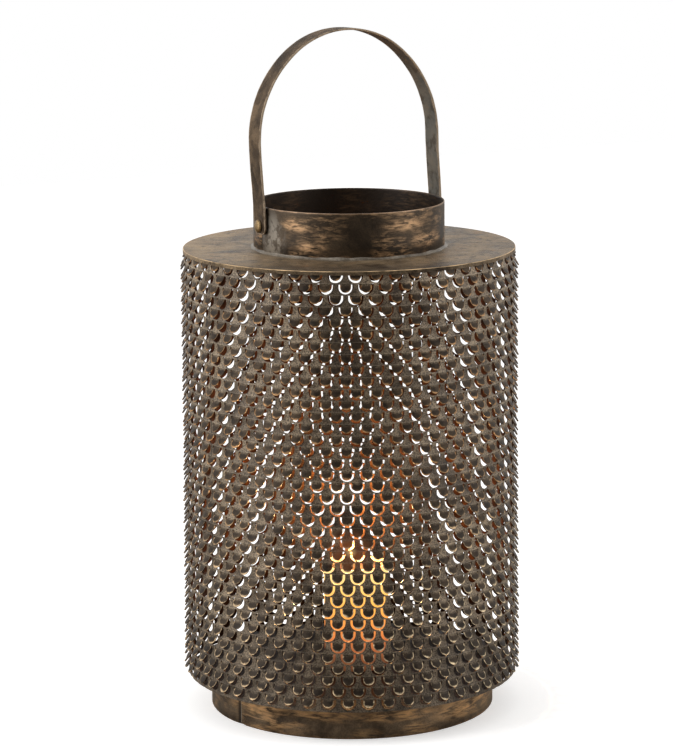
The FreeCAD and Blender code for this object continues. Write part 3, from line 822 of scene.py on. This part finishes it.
def buildPlate():
    reach, top, deep = plate["radius"], plate["top"], plate["thickness"]
    bend = plate["foldRound"]
    corner = [(reach - bend + bend * math.sin(math.radians(a)), top - bend + bend * math.cos(math.radians(a)))
              for a in (0, 22, 45, 68, 90)]
    outline = [(plate["hole"], top), (84.0, top), (98.0, top), (112.0, top), (121.0, top)] + corner
    outline += [(reach, top - 1.6), (reach, plate["foldFoot"]), (reach - deep, plate["foldFoot"]),
                (reach - deep, top - deep), (112.0, top - deep), (plate["hole"], top - deep)]
    edge = [0.0, 0.0, 0.0, 0.0, 0.0, 0.2, 0.7, 1.0, 0.75, 0.2, 0.0, 0.45, 0.2, 0.0, 0.0, 0.0]

    def ripple(angle, line):
        # the fold is a little wavy, the flat part isn't
        return plate["ripple"] * math.sin(5 * angle + 0.7) * (line[:, 0] > 115)

    steps = 240
    points, faces = lathe(outline, steps, wobble=ripple)
    piece = placeMesh("top_plate_tin", points, faces, [plateFinish()], values={"wear": np.tile(edge, steps)})
    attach(piece, "lantern")
    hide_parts("top_plate")


def stripRing(outerRadius, thickness, foot, top, seamTurn, lap, rounding, steps, waviness, notch=0.0):
    # a strip rolled to a ring; its tail tucks under its own start, as at a lapped seam
    tuckTurn = 7.0
    sweep = math.radians(360.0 + lap)
    start = math.radians(seamTurn)
    loops, edges = [], []
    for step in range(steps + 1):
        share = step / steps
        angle = start + sweep * share
        past = max(0.0, (sweep * share - math.radians(360.0 - tuckTurn)) / math.radians(tuckTurn))
        tuck = min(1.0, past) ** 2 * (thickness + 0.08)
        wave = waviness * (math.sin(3 * angle + 0.4) + 0.6 * math.sin(7 * angle))
        radius = outerRadius - tuck + wave
        inner = radius - thickness
        height = top - foot
        levels = [foot, foot + rounding, foot + 0.3 * height, foot + 0.6 * height, foot + 0.85 * height,
                  top - 1.6, top - rounding, top]
        wearAt = [1.0, 0.9, 0.0, 0.0, 0.0, 0.3, 0.95, 1.0]
        cut = notch * max(0.0, 1.0 - step / 2.0)
        outline = []
        for level, mark in zip(levels, wearAt):
            pull = rounding * 0.6 if level in (foot, top) else 0.0
            outline.append((radius - pull, max(level, foot + cut), mark))
        for level, mark in zip(reversed(levels), reversed(wearAt)):
            pull = rounding * 0.6 if level in (foot, top) else 0.0
            outline.append((inner + pull, max(level, foot + cut), mark))
        loops.append([(r * math.cos(angle), r * math.sin(angle), z) for r, z, _ in outline])
        edges.append([mark for _, _, mark in outline])
    points, faces = sweepLoops(np.array(loops), False)
    return points, faces, np.array(edges).reshape(-1)


collar = {
    "radius": 72.4, "thickness": 1.0, "foot": 355.7, "top": 390.0, "seamTurn": 180.0, "patchScale": 24.0,
    "dark": tint(26, 19, 12), "light": tint(84, 69, 52), "copper": tint(206, 166, 124), "lip": tint(160, 130, 102),
    "inside": tint(28, 20, 14), "seam": tint(20, 16, 12), "seamWidth": 0.7,
    "rubAlong": 75.0, "rubAcross": 420.0, "rubCover": 0.72,
    # each rub: turn in degrees, level, half width and half height
    "rubbed": ((-149, 380, 11, 6), (-139, 364, 11, 5), (-81, 380, 16, 5), (-62, 367, 16, 6)),
    "smeared": ((-169, 368, 11, 20),), "smear": tint(160, 152, 140),
}

ring = {
    "radius": 109.0, "thickness": 1.0, "foot": 0.0, "top": 26.0, "seamTurn": 193.0, "patchScale": 20.0,
    "dark": tint(52, 41, 30), "light": tint(146, 124, 99), "copper": tint(236, 186, 130), "lip": tint(160, 126, 92),
    "inside": tint(28, 20, 14), "seam": tint(150, 142, 130), "seamWidth": 1.2,
    "rubAlong": 70.0, "rubAcross": 300.0, "rubCover": 0.7,
    "rubbed": ((-158, 17, 17, 8), (-128, 18, 16, 6), (-98, 17, 18, 6), (-60, 14, 24, 10)),
    "smeared": (),
}


def wallFinish(name, made):
    material, tree, shader = newMaterial(name)
    place = objectPlace(tree)
    rolled = useGroup(tree, roundTheAxis, place=place)
    patina = useGroup(tree, tinPatina, place=place, dark=made["dark"], light=made["light"], copper=made["copper"],
                      cloudScale=30.0, cloudBalance=0.5, copperAmount=0.15, pitScale=900.0, pitAmount=0.35)
    unrolled = rolled.outputs["Unrolled"]
    # faint rubs all round, and strong ones at the places that the photograph shows
    rubs = useGroup(tree, rubbedStreaks, place=unrolled, along=made["rubAlong"], across=made["rubAcross"],
                    coverage=made["rubCover"], softness=0.22)
    patches = rangeNode(tree, noiseNode(tree, unrolled, made["patchScale"], 2.0, 0.5), 0.42, 0.62)
    worn = useGroup(tree, rubbedStreaks, place=unrolled, along=made["rubAlong"], across=made["rubAcross"],
                    coverage=0.83, softness=0.28)
    worn = times(tree, worn.outputs["Mask"], wallSpots(tree, rolled, made["rubbed"]))
    faint = times(tree, times(tree, rubs.outputs["Mask"], patches), 0.7)
    rubbed = mathNode(tree, "MAXIMUM", faint, worn)
    colour = mixColour(tree, times(tree, rubbed, 0.9), patina.outputs["Color"], made["copper"])
    if made["smeared"]:
        smear = rangeNode(tree, noiseNode(tree, unrolled, 160.0, 4.0, 0.6), 0.4, 0.56, 0.15, 0.8)
        smear = times(tree, smear, wallSpots(tree, rolled, made["smeared"]))
        colour = mixColour(tree, smear, colour, made["smear"])
    wear = useGroup(tree, edgeWear, place=place, edge=pointValue(tree, "wear"), width=0.3, grain=150.0)
    colour = mixColour(tree, times(tree, wear.outputs["Mask"], 0.75), colour, made["lip"])
    if made["seamTurn"] > 180.0:
        middle = math.radians(made["seamTurn"] - 360.0)
        away = mathNode(tree, "ABSOLUTE", mathNode(tree, "SUBTRACT", rolled.outputs["Turn"], middle))
    else:
        away = mathNode(tree, "SUBTRACT", math.pi, mathNode(tree, "ABSOLUTE", rolled.outputs["Turn"]))
    reach, wide = made["radius"], made["seamWidth"]
    inside = rangeNode(tree, rolled.outputs["Radius"], (reach - 0.85) * mm, (reach - 0.5) * mm, 0.86, 0.0)
    colour = mixColour(tree, inside, colour, made["inside"])
    seam = rangeNode(tree, away, 0.4 * wide / reach, 0.6 * wide / reach, 0.85, 0.0)
    colour = mixColour(tree, seam, colour, made["seam"])
    setFinish(tree, shader, colour, patina.outputs["Roughness"], 0.6)
    roughen(tree, shader, patina.outputs["Height"], 0.3, 0.0003)
    return material


def buildCollar():
    points, faces, edge = stripRing(collar["radius"], collar["thickness"], collar["foot"], collar["top"],
                                    collar["seamTurn"], lap=4.0, rounding=0.35, steps=200, waviness=0.12)
    piece = placeMesh("collar_tin", points, faces, [wallFinish("Collar tin", collar)], values={"wear": edge})
    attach(piece, "lantern")
    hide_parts("collar")


def buildRing():
    points, faces, edge = stripRing(ring["radius"], ring["thickness"], ring["foot"], ring["top"],
                                    ring["seamTurn"], lap=4.0, rounding=0.35, steps=240, waviness=0.1, notch=1.2)
    piece = placeMesh("base_ring_tin", points, faces, [wallFinish("Base ring tin", ring)], values={"wear": edge})
    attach(piece, "lantern")
    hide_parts("base_ring")


solder = {"radius": 72.3, "width": 2.3, "height": 1.5, "scatter": 0.35, "seed": 5,
          "dark": tint(84, 75, 64), "light": tint(152, 143, 130), "copper": tint(150, 120, 92)}


def solderFinish():
    material, tree, shader = newMaterial("Solder")
    patina = useGroup(tree, tinPatina, place=objectPlace(tree), dark=solder["dark"], light=solder["light"],
                      copper=solder["copper"], cloudScale=90.0, cloudBalance=0.46, copperAmount=0.2,
                      pitScale=700.0, pitAmount=0.3)
    setFinish(tree, shader, patina.outputs["Color"], patina.outputs["Roughness"], 0.5)
    roughen(tree, shader, patina.outputs["Height"], 0.5, 0.0004)
    return material


def buildSolder():
    # an uneven bead in the corner between the plate and the collar
    generator = np.random.default_rng(solder["seed"])
    steps = 260
    raw = generator.normal(0, 1, steps)
    smooth = np.convolve(np.tile(raw, 3), np.hanning(9) / np.hanning(9).sum(), "same")[steps:2 * steps]
    loops = np.zeros((steps, 8, 3))
    for step in range(steps):
        angle = 2 * math.pi * step / steps
        reach = solder["width"] * (1 + solder["scatter"] * smooth[step])
        rise = solder["height"] * (1 + solder["scatter"] * smooth[(step + 40) % steps])
        base = solder["radius"]
        deck = plate["top"]
        outline = [(base - 0.4, deck - 0.3), (base - 0.4, deck + rise)]
        outline += [(base + out * reach, deck + up * rise)
                    for out, up in ((0.12, 1.0), (0.35, 0.62), (0.62, 0.36), (0.86, 0.15))]
        outline += [(base + reach, deck + 0.02), (base + reach, deck - 0.3)]
        for spot, (radius, level) in enumerate(reversed(outline)):
            loops[step, spot] = (radius * math.cos(angle), radius * math.sin(angle), level)
    points, faces = sweepLoops(loops, True)
    piece = placeMesh("collar_solder", points, faces, [solderFinish()])
    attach(piece, "lantern")


buildPlate()
buildCollar()
buildRing()
buildSolder()
print("plate, collar and base ring built")


# floor plate: the CAD disc keeps its shape and takes a finish

floorPlate = {"dark": tint(16, 11, 8), "light": tint(38, 28, 20), "copper": tint(72, 46, 26)}


def finishFloorPlate():
    material, tree, shader = newMaterial("Floor tin")
    patina = useGroup(tree, tinPatina, place=objectPlace(tree), dark=floorPlate["dark"], light=floorPlate["light"],
                      copper=floorPlate["copper"], cloudScale=26.0, cloudBalance=0.5, copperAmount=0.3,
                      pitScale=900.0, pitAmount=0.35)
    setFinish(tree, shader, patina.outputs["Color"], patina.outputs["Roughness"], 0.3, 0.1)
    roughen(tree, shader, patina.outputs["Height"], 0.3, 0.0003)
    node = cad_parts["floor_plate"]
    for place in node.material_slots:
        place.material = material
    if not node.material_slots:
        node.data.materials.append(material)


finishFloorPlate()
print("floor plate finished")


# bail handle and rivets

bail = {
    "halfSpan": 75.0, "shoulderRadius": 85.8, "shoulderOut": 10.8, "crownRadius": 68.6, "crownLift": 13.4,
    "crownLevel": 451.7, "shift": -2.5, "lean": 1.5, "pivotLevel": 375.7, "tail": 6.0, "pivotHalf": 74.7,
    "thickness": 1.5, "width": 20.0, "cornerRadius": 5.5,
    "dark": tint(54, 42, 30), "light": tint(122, 102, 80), "copper": tint(158, 118, 80),
    "streak": tint(150, 130, 106), "greyLeg": tint(116, 120, 116), "edge": tint(186, 166, 142),
}


def bailLine():
    # outer face of the strap in its upright plane, from the end of one leg over the crown to the other end
    half = []
    shoulderLevel = bail["crownLevel"] - bail["crownLift"]
    for share in np.linspace(0, 1, 10):
        half.append((bail["pivotHalf"] + (bail["halfSpan"] - bail["pivotHalf"]) * share,
                     bail["pivotLevel"] + (shoulderLevel - bail["pivotLevel"]) * share))
    meet = math.atan2(bail["crownLift"], bail["shoulderOut"])
    for share in np.linspace(0, 1, 22)[1:]:
        swing = meet * share
        half.append((-bail["shoulderOut"] + bail["shoulderRadius"] * math.cos(swing),
                     shoulderLevel + bail["shoulderRadius"] * math.sin(swing)))
    for share in np.linspace(0, 1, 18)[1:]:
        swing = meet + (math.pi / 2 - meet) * share
        level = bail["crownLevel"] + bail["crownRadius"] * math.sin(swing)
        half.append((bail["crownRadius"] * math.cos(swing), level))
    mirrored = [(-x, z) for x, z in reversed(half[:-1])]
    line = []
    for x, z in half + mirrored:
        rise = min(1.0, max(0.0, (z - bail["pivotLevel"]) / (shoulderLevel - bail["pivotLevel"])))
        line.append((x + bail["shift"] * rise * rise * (3 - 2 * rise), z))
    first, last = line[0], line[-1]
    head = [(first[0], first[1] - bail["tail"] * share) for share in (1.0, 0.93, 0.8, 0.55, 0.25)]
    foot = [(last[0], last[1] - bail["tail"] * share) for share in (0.25, 0.55, 0.8, 0.93, 1.0)]
    return np.array(head + line + foot)


def buildBail():
    line = bailLine()
    lean = Matrix.Rotation(math.radians(-bail["lean"]), 4, "X")
    pivot = Vector((0, 0, bail["pivotLevel"]))
    ahead = np.gradient(line, axis=0)
    ahead /= np.linalg.norm(ahead, axis=1, keepdims=True)
    outward = np.stack([ahead[:, 1], -ahead[:, 0]], axis=1)
    walked = np.concatenate([[0], np.cumsum(np.linalg.norm(np.diff(line, axis=0), axis=1))])
    total = walked[-1]
    deep, corner, half = bail["thickness"], bail["cornerRadius"], bail["width"] / 2
    shape = [(-1.0, -0.3), (-1.0, -0.7), (-0.97, -0.95), (-0.6, -1.0), (0.0, -1.0), (0.6, -1.0), (0.97, -0.95),
             (1.0, -0.7), (1.0, -0.3), (0.97, -0.05), (0.6, 0.0), (0.0, 0.0), (-0.6, 0.0), (-0.97, -0.05)]
    marks = [1.0, 1.0, 0.95, 0.15, 0.0, 0.15, 0.95, 1.0, 1.0, 0.95, 0.15, 0.0, 0.15, 0.95]
    loops, edge = [], []
    for (x, z), (outX, outZ), far in zip(line, outward, walked):
        end = min(far, total - far)
        reach = half
        if end < corner:
            reach = half - corner + math.sqrt(max(0.0, corner ** 2 - (corner - end) ** 2))
        wave = 0.12 * math.sin(far * 0.21) + 0.08 * math.sin(far * 0.53 + 1.0)
        loop = []
        for across, depth in shape:
            side = across * (reach - 0.15 + wave * (end > corner))
            spot = Vector((x + outX * depth * deep, side, z + outZ * depth * deep))
            loop.append(tuple(lean @ (spot - pivot) + pivot))
        loops.append(loop)
        edge += [max(mark, 1.0 - end / 2.5) for mark in marks]
    points, faces = sweepLoops(np.array(loops), False)
    piece = placeMesh("bail_strap", points, faces, [strapFinish()], values={"wear": edge}, sharpAngle=50.0)
    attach(piece, "bail")
    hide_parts("bail_handle")


def strapFinish():
    material, tree, shader = newMaterial("Handle strap")
    place = objectPlace(tree)
    patina = useGroup(tree, tinPatina, place=place, dark=bail["dark"], light=bail["light"], copper=bail["copper"],
                      cloudScale=55.0, cloudBalance=0.5, copperAmount=0.2, pitScale=1000.0, pitAmount=0.4)
    streaks = useGroup(tree, rubbedStreaks, place=place, along=60.0, across=420.0, coverage=0.4, softness=0.2)
    colour = mixColour(tree, times(tree, streaks.outputs["Mask"], 0.4), patina.outputs["Color"], bail["streak"])
    # the right leg is greyer, with dark stains
    facingPlace = useGroup(tree, facing, place=place)
    right = rangeNode(tree, facingPlace.outputs["Aside"], 0.03, 0.06)
    colour = mixColour(tree, times(tree, right, 0.5), colour, bail["greyLeg"])
    stains = rangeNode(tree, noiseNode(tree, place, 85.0, 3.0, 0.6), 0.5, 0.64, 0.0, 0.6)
    colour = mixColour(tree, stains, colour, bail["dark"])
    wear = useGroup(tree, edgeWear, place=place, edge=pointValue(tree, "wear"), width=0.35, grain=200.0)
    colour = mixColour(tree, times(tree, wear.outputs["Mask"], 0.7), colour, bail["edge"])
    coarse = mathNode(tree, "ADD", patina.outputs["Roughness"], 0.15, clamp=True)
    setFinish(tree, shader, colour, coarse, 0.4, 0.12)
    roughen(tree, shader, patina.outputs["Height"], 0.5, 0.0005)
    return material


rivet = {
    "pivotLevel": 375.7, "headRadius": 5.0, "headDome": 2.6, "headFoot": 75.35, "shankRadius": 1.2,
    "tailRadius": 3.9, "tailFoot": 71.15, "tailHeight": 1.1,
    "dark": tint(96, 74, 46), "light": tint(176, 148, 104), "copper": tint(206, 176, 130),
}


def rivetFinish():
    material, tree, shader = newMaterial("Rivet brass")
    patina = useGroup(tree, tinPatina, place=objectPlace(tree), dark=rivet["dark"], light=rivet["light"],
                      copper=rivet["copper"], cloudScale=260.0, cloudBalance=0.5, copperAmount=0.4,
                      pitScale=1400.0, pitAmount=0.3)
    setFinish(tree, shader, patina.outputs["Color"], patina.outputs["Roughness"], 0.75)
    roughen(tree, shader, patina.outputs["Height"], 0.4, 0.0002)
    return material


def buildRivets():
    outline = [(0.0, rivet["tailFoot"] - rivet["tailHeight"])]
    for angle in (65, 40, 15):
        outline.append((rivet["tailRadius"] * math.cos(math.radians(angle)),
                        rivet["tailFoot"] - rivet["tailHeight"] * math.sin(math.radians(angle))))
    outline += [(rivet["tailRadius"], rivet["tailFoot"] - 0.1), (rivet["tailRadius"] - 0.1, rivet["tailFoot"]),
                (rivet["shankRadius"], rivet["tailFoot"]), (rivet["shankRadius"], rivet["headFoot"]),
                (rivet["headRadius"] - 0.15, rivet["headFoot"]), (rivet["headRadius"], rivet["headFoot"] + 0.2)]
    for angle in (15, 30, 45, 60, 75):
        outline.append((rivet["headRadius"] * math.cos(math.radians(angle)),
                        rivet["headFoot"] + 0.2 + (rivet["headDome"] - 0.2) * math.sin(math.radians(angle))))
    outline.append((0.0, rivet["headFoot"] + rivet["headDome"]))
    points, faces = turnSolid(outline, 40)
    points = np.array(points)
    allPoints, allFaces = [], []
    for side in (1.0, -1.0):
        turned = np.stack([side * points[:, 2], side * points[:, 1], points[:, 0] + rivet["pivotLevel"]], axis=1)
        shift = len(allPoints) * len(points)
        allPoints.append(turned)
        allFaces += [tuple(reversed([spot + shift for spot in face])) for face in faces]
    piece = placeMesh("rivet_heads", np.concatenate(allPoints), allFaces, [rivetFinish()], sharpAngle=45.0)
    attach(piece, "lantern")
    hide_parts("rivets")


buildBail()
buildRivets()
print("bail and rivets built")


# candle, wick and flame

candle = {
    "x": 4.0, "radius": 24.8, "foot": 26.95, "top": 108.2, "poolDepth": 4.6, "rimWidth": 3.2, "softEdge": 1.2,
    "poolStart": 0.0195, "poolEnd": 0.0225,   # metres from the middle, where the pool meets its rim
    # the pool's dark colour is painted shade
    "wax": tint(168, 134, 96), "waxStain": tint(148, 120, 86), "poolDark": tint(34, 20, 11),
    # painted glow of the pool and the wax
    "poolGlow": tint(255, 150, 66), "waxPaintedGlowStrength": 1.3,
    "glow": (                 # painted glow: how the wax shines through, from its foot to its top
        (0.0, tint(62, 32, 18)), (0.1, tint(104, 56, 32)), (0.2, tint(156, 84, 46)), (0.32, tint(206, 114, 56)),
        (0.46, tint(240, 148, 66)), (0.63, tint(255, 180, 82)), (0.8, tint(255, 202, 112)),
        (1.0, tint(255, 222, 150)),
    ),
}

wick = {
    "foot": 103.6, "rise": 20.6, "radius": 0.85, "tipRadius": 0.5, "lean": 2.2,
    "cotton": tint(206, 190, 160), "thread": tint(160, 140, 108), "burnt": tint(26, 20, 16),
}

flame = {
    "foot": 112.9, "height": 12.6, "radius": 3.0, "lean": 3.4, "strength": 3.2,
    "glow": (
        (0.0, tint(255, 120, 40)), (0.3, tint(255, 214, 140)), (0.6, tint(255, 206, 120)), (1.0, tint(255, 138, 48)),
    ),
}


def leaned(amount):
    # the flame and the wick's end lean to the left of the photographed side
    turn = math.radians(front["turn"])
    return candle["x"] + amount * math.sin(turn), -amount * math.cos(turn)


def waxFinish():
    material, tree, shader = newMaterial("Candle wax")
    place = objectPlace(tree)
    mottle = noiseNode(tree, place, 60.0, 3.0, 0.5)
    wander = times(tree, mathNode(tree, "SUBTRACT", mottle, 0.5), 0.01)
    level = mathNode(tree, "ADD", splitPlace(tree, place)["Z"], wander)
    share = rangeNode(tree, level, candle["foot"] * mm, candle["top"] * mm, 0.0, 1.0, smooth=False)
    glow = rampNode(tree, share, candle["glow"])
    flat = tree.nodes.new("ShaderNodeVectorMath")
    flat.operation = "MULTIPLY"
    tree.links.new(place, flat.inputs[0])
    flat.inputs[1].default_value = (1.0, 1.0, 0.0)
    middle = (candle["x"] * mm, 0.0, 0.0)
    pool = nearSpot(tree, flat.outputs[0], middle, candle["poolStart"], candle["poolEnd"], 1.0)
    poolGlow = mixColour(tree, nearSpot(tree, flat.outputs[0], middle, 0.001, 0.014, 0.4), candle["poolDark"],
                         candle["poolGlow"])
    wax = mixColour(tree, mottle, candle["wax"], candle["waxStain"])
    # the pool's base colour is painted shade, and the wax's emission is a painted glow, brightest near the wick
    tree.links.new(mixColour(tree, pool, wax, candle["poolDark"]), shader.inputs["Base Color"])
    tree.links.new(mixColour(tree, pool, glow, poolGlow), shader.inputs["Emission Color"])
    shader.inputs["Emission Strength"].default_value = candle["waxPaintedGlowStrength"]
    shader.inputs["Roughness"].default_value = 0.45
    shader.inputs["Subsurface Weight"].default_value = 0.25
    shader.inputs["Subsurface Scale"].default_value = 0.01
    roughen(tree, shader, noiseNode(tree, place, 240.0, 3.0, 0.6), 0.2, 0.0004)
    return material


def buildCandle():
    reach, foot, top, soft = candle["radius"], candle["foot"], candle["top"], candle["softEdge"]
    outline = [(0.0, foot), (reach - 6.0, foot), (reach - 0.8, foot), (reach - 0.2, foot + 0.3), (reach, foot + 1.0),
               (reach, foot + 20.0), (reach, foot + 45.0), (reach, foot + 70.0), (reach, top - soft)]
    for angle in (20, 45, 70, 90):
        outline.append((reach - soft + soft * math.cos(math.radians(angle)),
                        top - soft + soft * math.sin(math.radians(angle))))
    inner, bottom = reach - candle["rimWidth"], top - candle["poolDepth"]
    for share in (0.3, 0.6, 0.85, 1.0):
        outline.append((inner + 1.4 - 3.4 * share, top - candle["poolDepth"] * share ** 1.5))
    outline += [(12.0, bottom), (5.0, bottom), (1.5, bottom + 0.3), (0.0, bottom + 0.5)]

    def uneven(angle, radius, height):
        # the rim has melted lower on one side, and the wall is hardly round
        if height > top - 8 and radius > 15:
            return 0.25 * math.sin(3 * angle), -0.5 - 0.5 * math.sin(2 * angle + 0.8) * (height > top - soft - 0.1)
        return 0.12 * math.sin(4 * angle + height * 0.03), 0.0

    points, faces = turnSolid(outline, 96, centre=(candle["x"], 0.0), wobble=uneven)
    piece = placeMesh("candle_pillar", points, faces, [waxFinish()], sharpAngle=60.0)
    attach(piece, "candle")
    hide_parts("candle_body")


def buildWick():
    loops = []
    for step in range(14):
        share = step / 13.0
        level = wick["foot"] + wick["rise"] * share
        x, y = leaned(wick["lean"] * max(0.0, share - 0.4) / 0.6)
        reach = wick["radius"] if share < 0.96 else wick["tipRadius"]
        loops.append([(x + reach * (1 + 0.12 * math.sin(3 * a + 9 * share)) * math.cos(a),
                       y + reach * math.sin(a), level) for a in np.linspace(0, 2 * math.pi, 12, endpoint=False)])
    points, faces = sweepLoops(np.array(loops), False)
    faces = [tuple(reversed(face)) for face in faces]
    material, tree, shader = newMaterial("Wick cord")
    place = objectPlace(tree)
    burnt = rangeNode(tree, splitPlace(tree, place)["Z"], 0.112, 0.119)
    threads = noiseNode(tree, place, 900.0, 2.0, 0.6)
    cotton = mixColour(tree, threads, wick["cotton"], wick["thread"])
    tree.links.new(mixColour(tree, burnt, cotton, wick["burnt"]), shader.inputs["Base Color"])
    tree.links.new(rangeNode(tree, threads, 0.2, 0.8, 0.7, 0.95), shader.inputs["Roughness"])
    piece = placeMesh("candle_wick_cord", points, faces, [material])
    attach(piece, "candle")
    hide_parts("candle_wick")


def buildFlame():
    foot, tall, wide = flame["foot"], flame["height"], flame["radius"]
    outline = [(0.0, foot)]
    for share in (0.05, 0.12, 0.2, 0.3, 0.42, 0.55, 0.68, 0.8, 0.9, 0.96):
        outline.append((wide * math.sin(math.pi * share ** 0.62) ** 0.9, foot + tall * share))
    outline.append((0.0, foot + tall))
    points, faces = turnSolid(outline, 32)
    points = np.array(points)
    rise = np.clip((points[:, 2] - foot) / tall, 0, 1)
    x, y = leaned(flame["lean"] * (0.45 + 0.55 * np.minimum(1.0, rise * 2.0)))
    points[:, 0] += x
    points[:, 1] += y
    material, tree, shader = newMaterial("Flame")
    height = splitPlace(tree, objectPlace(tree))["Z"]
    share = rangeNode(tree, height, foot * mm, (foot + tall) * mm, 0.0, 1.0, smooth=False)
    glow = rampNode(tree, share, flame["glow"])
    tree.links.new(glow, shader.inputs["Emission Color"])
    tree.links.new(glow, shader.inputs["Base Color"])
    shader.inputs["Emission Strength"].default_value = flame["strength"]
    shader.inputs["Roughness"].default_value = 0.6
    piece = placeMesh("candle_flame", points, faces, [material], sharpAngle=80.0)
    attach(piece, "candle")
    return piece


buildCandle()
buildWick()
flamePiece = buildFlame()
print("candle, wick and flame built")


# floor, light and camera

view = {
    "place": (-1.0614, -2.157, 0.7195), "turn": -26.2, "down": 10.92, "aside": 0.229, "roll": -0.445, "lens": 153.84,
}

studio = {
    "floor": tint(248, 248, 248), "floorSeenByMetal": tint(150, 146, 140), "floorSize": 3.0, "floorGlow": 0.35,
    "roomColour": (1.0, 0.985, 0.965, 1.0),
    "front": 0.08, "sides": 1.05, "top": 0.75,   # how bright the room is, as the metal sees it
    # each softbox: name, turn from the camera and height in degrees, distance, width and height, power
    "softboxes": (("Left softbox", -68, 25, 1.6, (0.9, 1.3), 16.0), ("Right softbox", 72, 20, 1.7, (0.8, 1.3), 9.0)),
    "candlePower": 1.15, "candleColour": (1.0, 0.55, 0.22), "candleLightRise": 5.0,
}


def buildFloor():
    size, steps = studio["floorSize"], 12
    grid = np.linspace(-size, size, steps + 1)
    points = [(x / mm, y / mm, 0.0) for y in grid for x in grid]
    wide = steps + 1
    faces = [(row * wide + k, row * wide + k + 1, (row + 1) * wide + k + 1, (row + 1) * wide + k)
             for row in range(steps) for k in range(steps)]
    material, tree, shader = newMaterial("Pale floor")
    seen = tree.nodes.new("ShaderNodeLightPath").outputs["Is Camera Ray"]
    tree.links.new(mixColour(tree, seen, studio["floorSeenByMetal"], studio["floor"]), shader.inputs["Base Color"])
    tree.links.new(mixColour(tree, seen, (0, 0, 0, 1), (1, 1, 1, 1)), shader.inputs["Emission Color"])
    shader.inputs["Roughness"].default_value = 0.9
    shader.inputs["Specular IOR Level"].default_value = 0.1
    shader.inputs["Emission Strength"].default_value = studio["floorGlow"]
    floor = placeMesh("studio_floor", points, faces, [material])
    floor.location.z = -0.0002


def buildSky():
    # the camera sees plain white; the metal sees a room that is dark behind the camera and bright at the sides
    world = bpy.data.worlds.new("Studio")
    bpy.context.scene.world = world
    world.use_nodes = True
    tree = world.node_tree
    tree.nodes.clear()
    direction = tree.nodes.new("ShaderNodeTexCoord").outputs["Generated"]
    turn = math.radians(view["turn"])
    towards = tree.nodes.new("ShaderNodeVectorMath")
    towards.operation = "DOT_PRODUCT"
    tree.links.new(direction, towards.inputs[0])
    towards.inputs[1].default_value = (math.sin(turn), -math.cos(turn), 0.0)
    away = rangeNode(tree, towards.outputs["Value"], 0.35, 0.95, 1.0, 0.0)
    upper = rangeNode(tree, splitPlace(tree, direction)["Z"], 0.3, 0.9, studio["sides"], studio["top"])
    strength = rangeNode(tree, away, 0.0, 1.0, studio["front"], 1.0, smooth=False)
    strength = times(tree, strength, upper)
    room = tree.nodes.new("ShaderNodeBackground")
    room.inputs["Color"].default_value = studio["roomColour"]
    tree.links.new(strength, room.inputs["Strength"])
    backdrop = tree.nodes.new("ShaderNodeBackground")
    backdrop.inputs["Color"].default_value = (1, 1, 1, 1)
    backdrop.inputs["Strength"].default_value = 1.0
    seen = tree.nodes.new("ShaderNodeLightPath").outputs["Is Camera Ray"]
    mix = tree.nodes.new("ShaderNodeMixShader")
    tree.links.new(seen, mix.inputs["Fac"])
    tree.links.new(room.outputs[0], mix.inputs[1])
    tree.links.new(backdrop.outputs[0], mix.inputs[2])
    final = tree.nodes.new("ShaderNodeOutputWorld")
    tree.links.new(mix.outputs[0], final.inputs["Surface"])


def addSoftbox(name, azimuth, elevation, distance, size, power):
    light = bpy.data.lights.new(name, "AREA")
    light.shape = "RECTANGLE"
    light.size, light.size_y = size
    light.energy = power
    box = bpy.data.objects.new(name, light)
    turn, lift = math.radians(azimuth), math.radians(elevation)
    away = Vector((math.sin(turn) * math.cos(lift), -math.cos(turn) * math.cos(lift), math.sin(lift)))
    box.location = Vector((0, 0, 0.25)) + away * distance
    box.rotation_mode = "QUATERNION"
    box.rotation_quaternion = (-away).to_track_quat("-Z", "Y")
    bpy.context.scene.collection.objects.link(box)


def buildLights():
    for name, azimuth, elevation, distance, size, power in studio["softboxes"]:
        addSoftbox(name, view["turn"] + azimuth, elevation, distance, size, power)
    spark = bpy.data.lights.new("Candle light", "POINT")
    spark.energy = studio["candlePower"]
    spark.color = studio["candleColour"]
    spark.shadow_soft_size = 0.006
    glow = bpy.data.objects.new("Candle light", spark)
    glow.location = (candle["x"] * mm, 0.0, (flame["foot"] + flame["height"] + studio["candleLightRise"]) * mm)
    bpy.context.scene.collection.objects.link(glow)
    glow.parent = flamePiece   # the light rises with the candle


def buildCamera():
    lens = bpy.data.cameras.new("Camera")
    lens.lens = view["lens"]
    lens.sensor_width = 36.0
    lens.sensor_fit = "AUTO"
    lens.clip_start, lens.clip_end = 0.05, 50.0
    camera = bpy.data.objects.new("Camera", lens)
    turn, lift = math.radians(view["turn"]), math.radians(view["down"])
    back = Vector((math.sin(turn) * math.cos(lift), -math.cos(turn) * math.cos(lift), math.sin(lift)))
    back.rotate(Quaternion((0, 0, 1), math.radians(view["aside"])))
    camera.location = view["place"]
    camera.rotation_mode = "QUATERNION"
    camera.rotation_quaternion = (-back).to_track_quat("-Z", "Y") @ Quaternion((0, 0, 1), math.radians(view["roll"]))
    bpy.context.scene.collection.objects.link(camera)
    bpy.context.scene.camera = camera


buildFloor()
buildSky()
buildLights()
buildCamera()
bpy.context.scene.view_settings.view_transform = "Standard"
print("studio built")
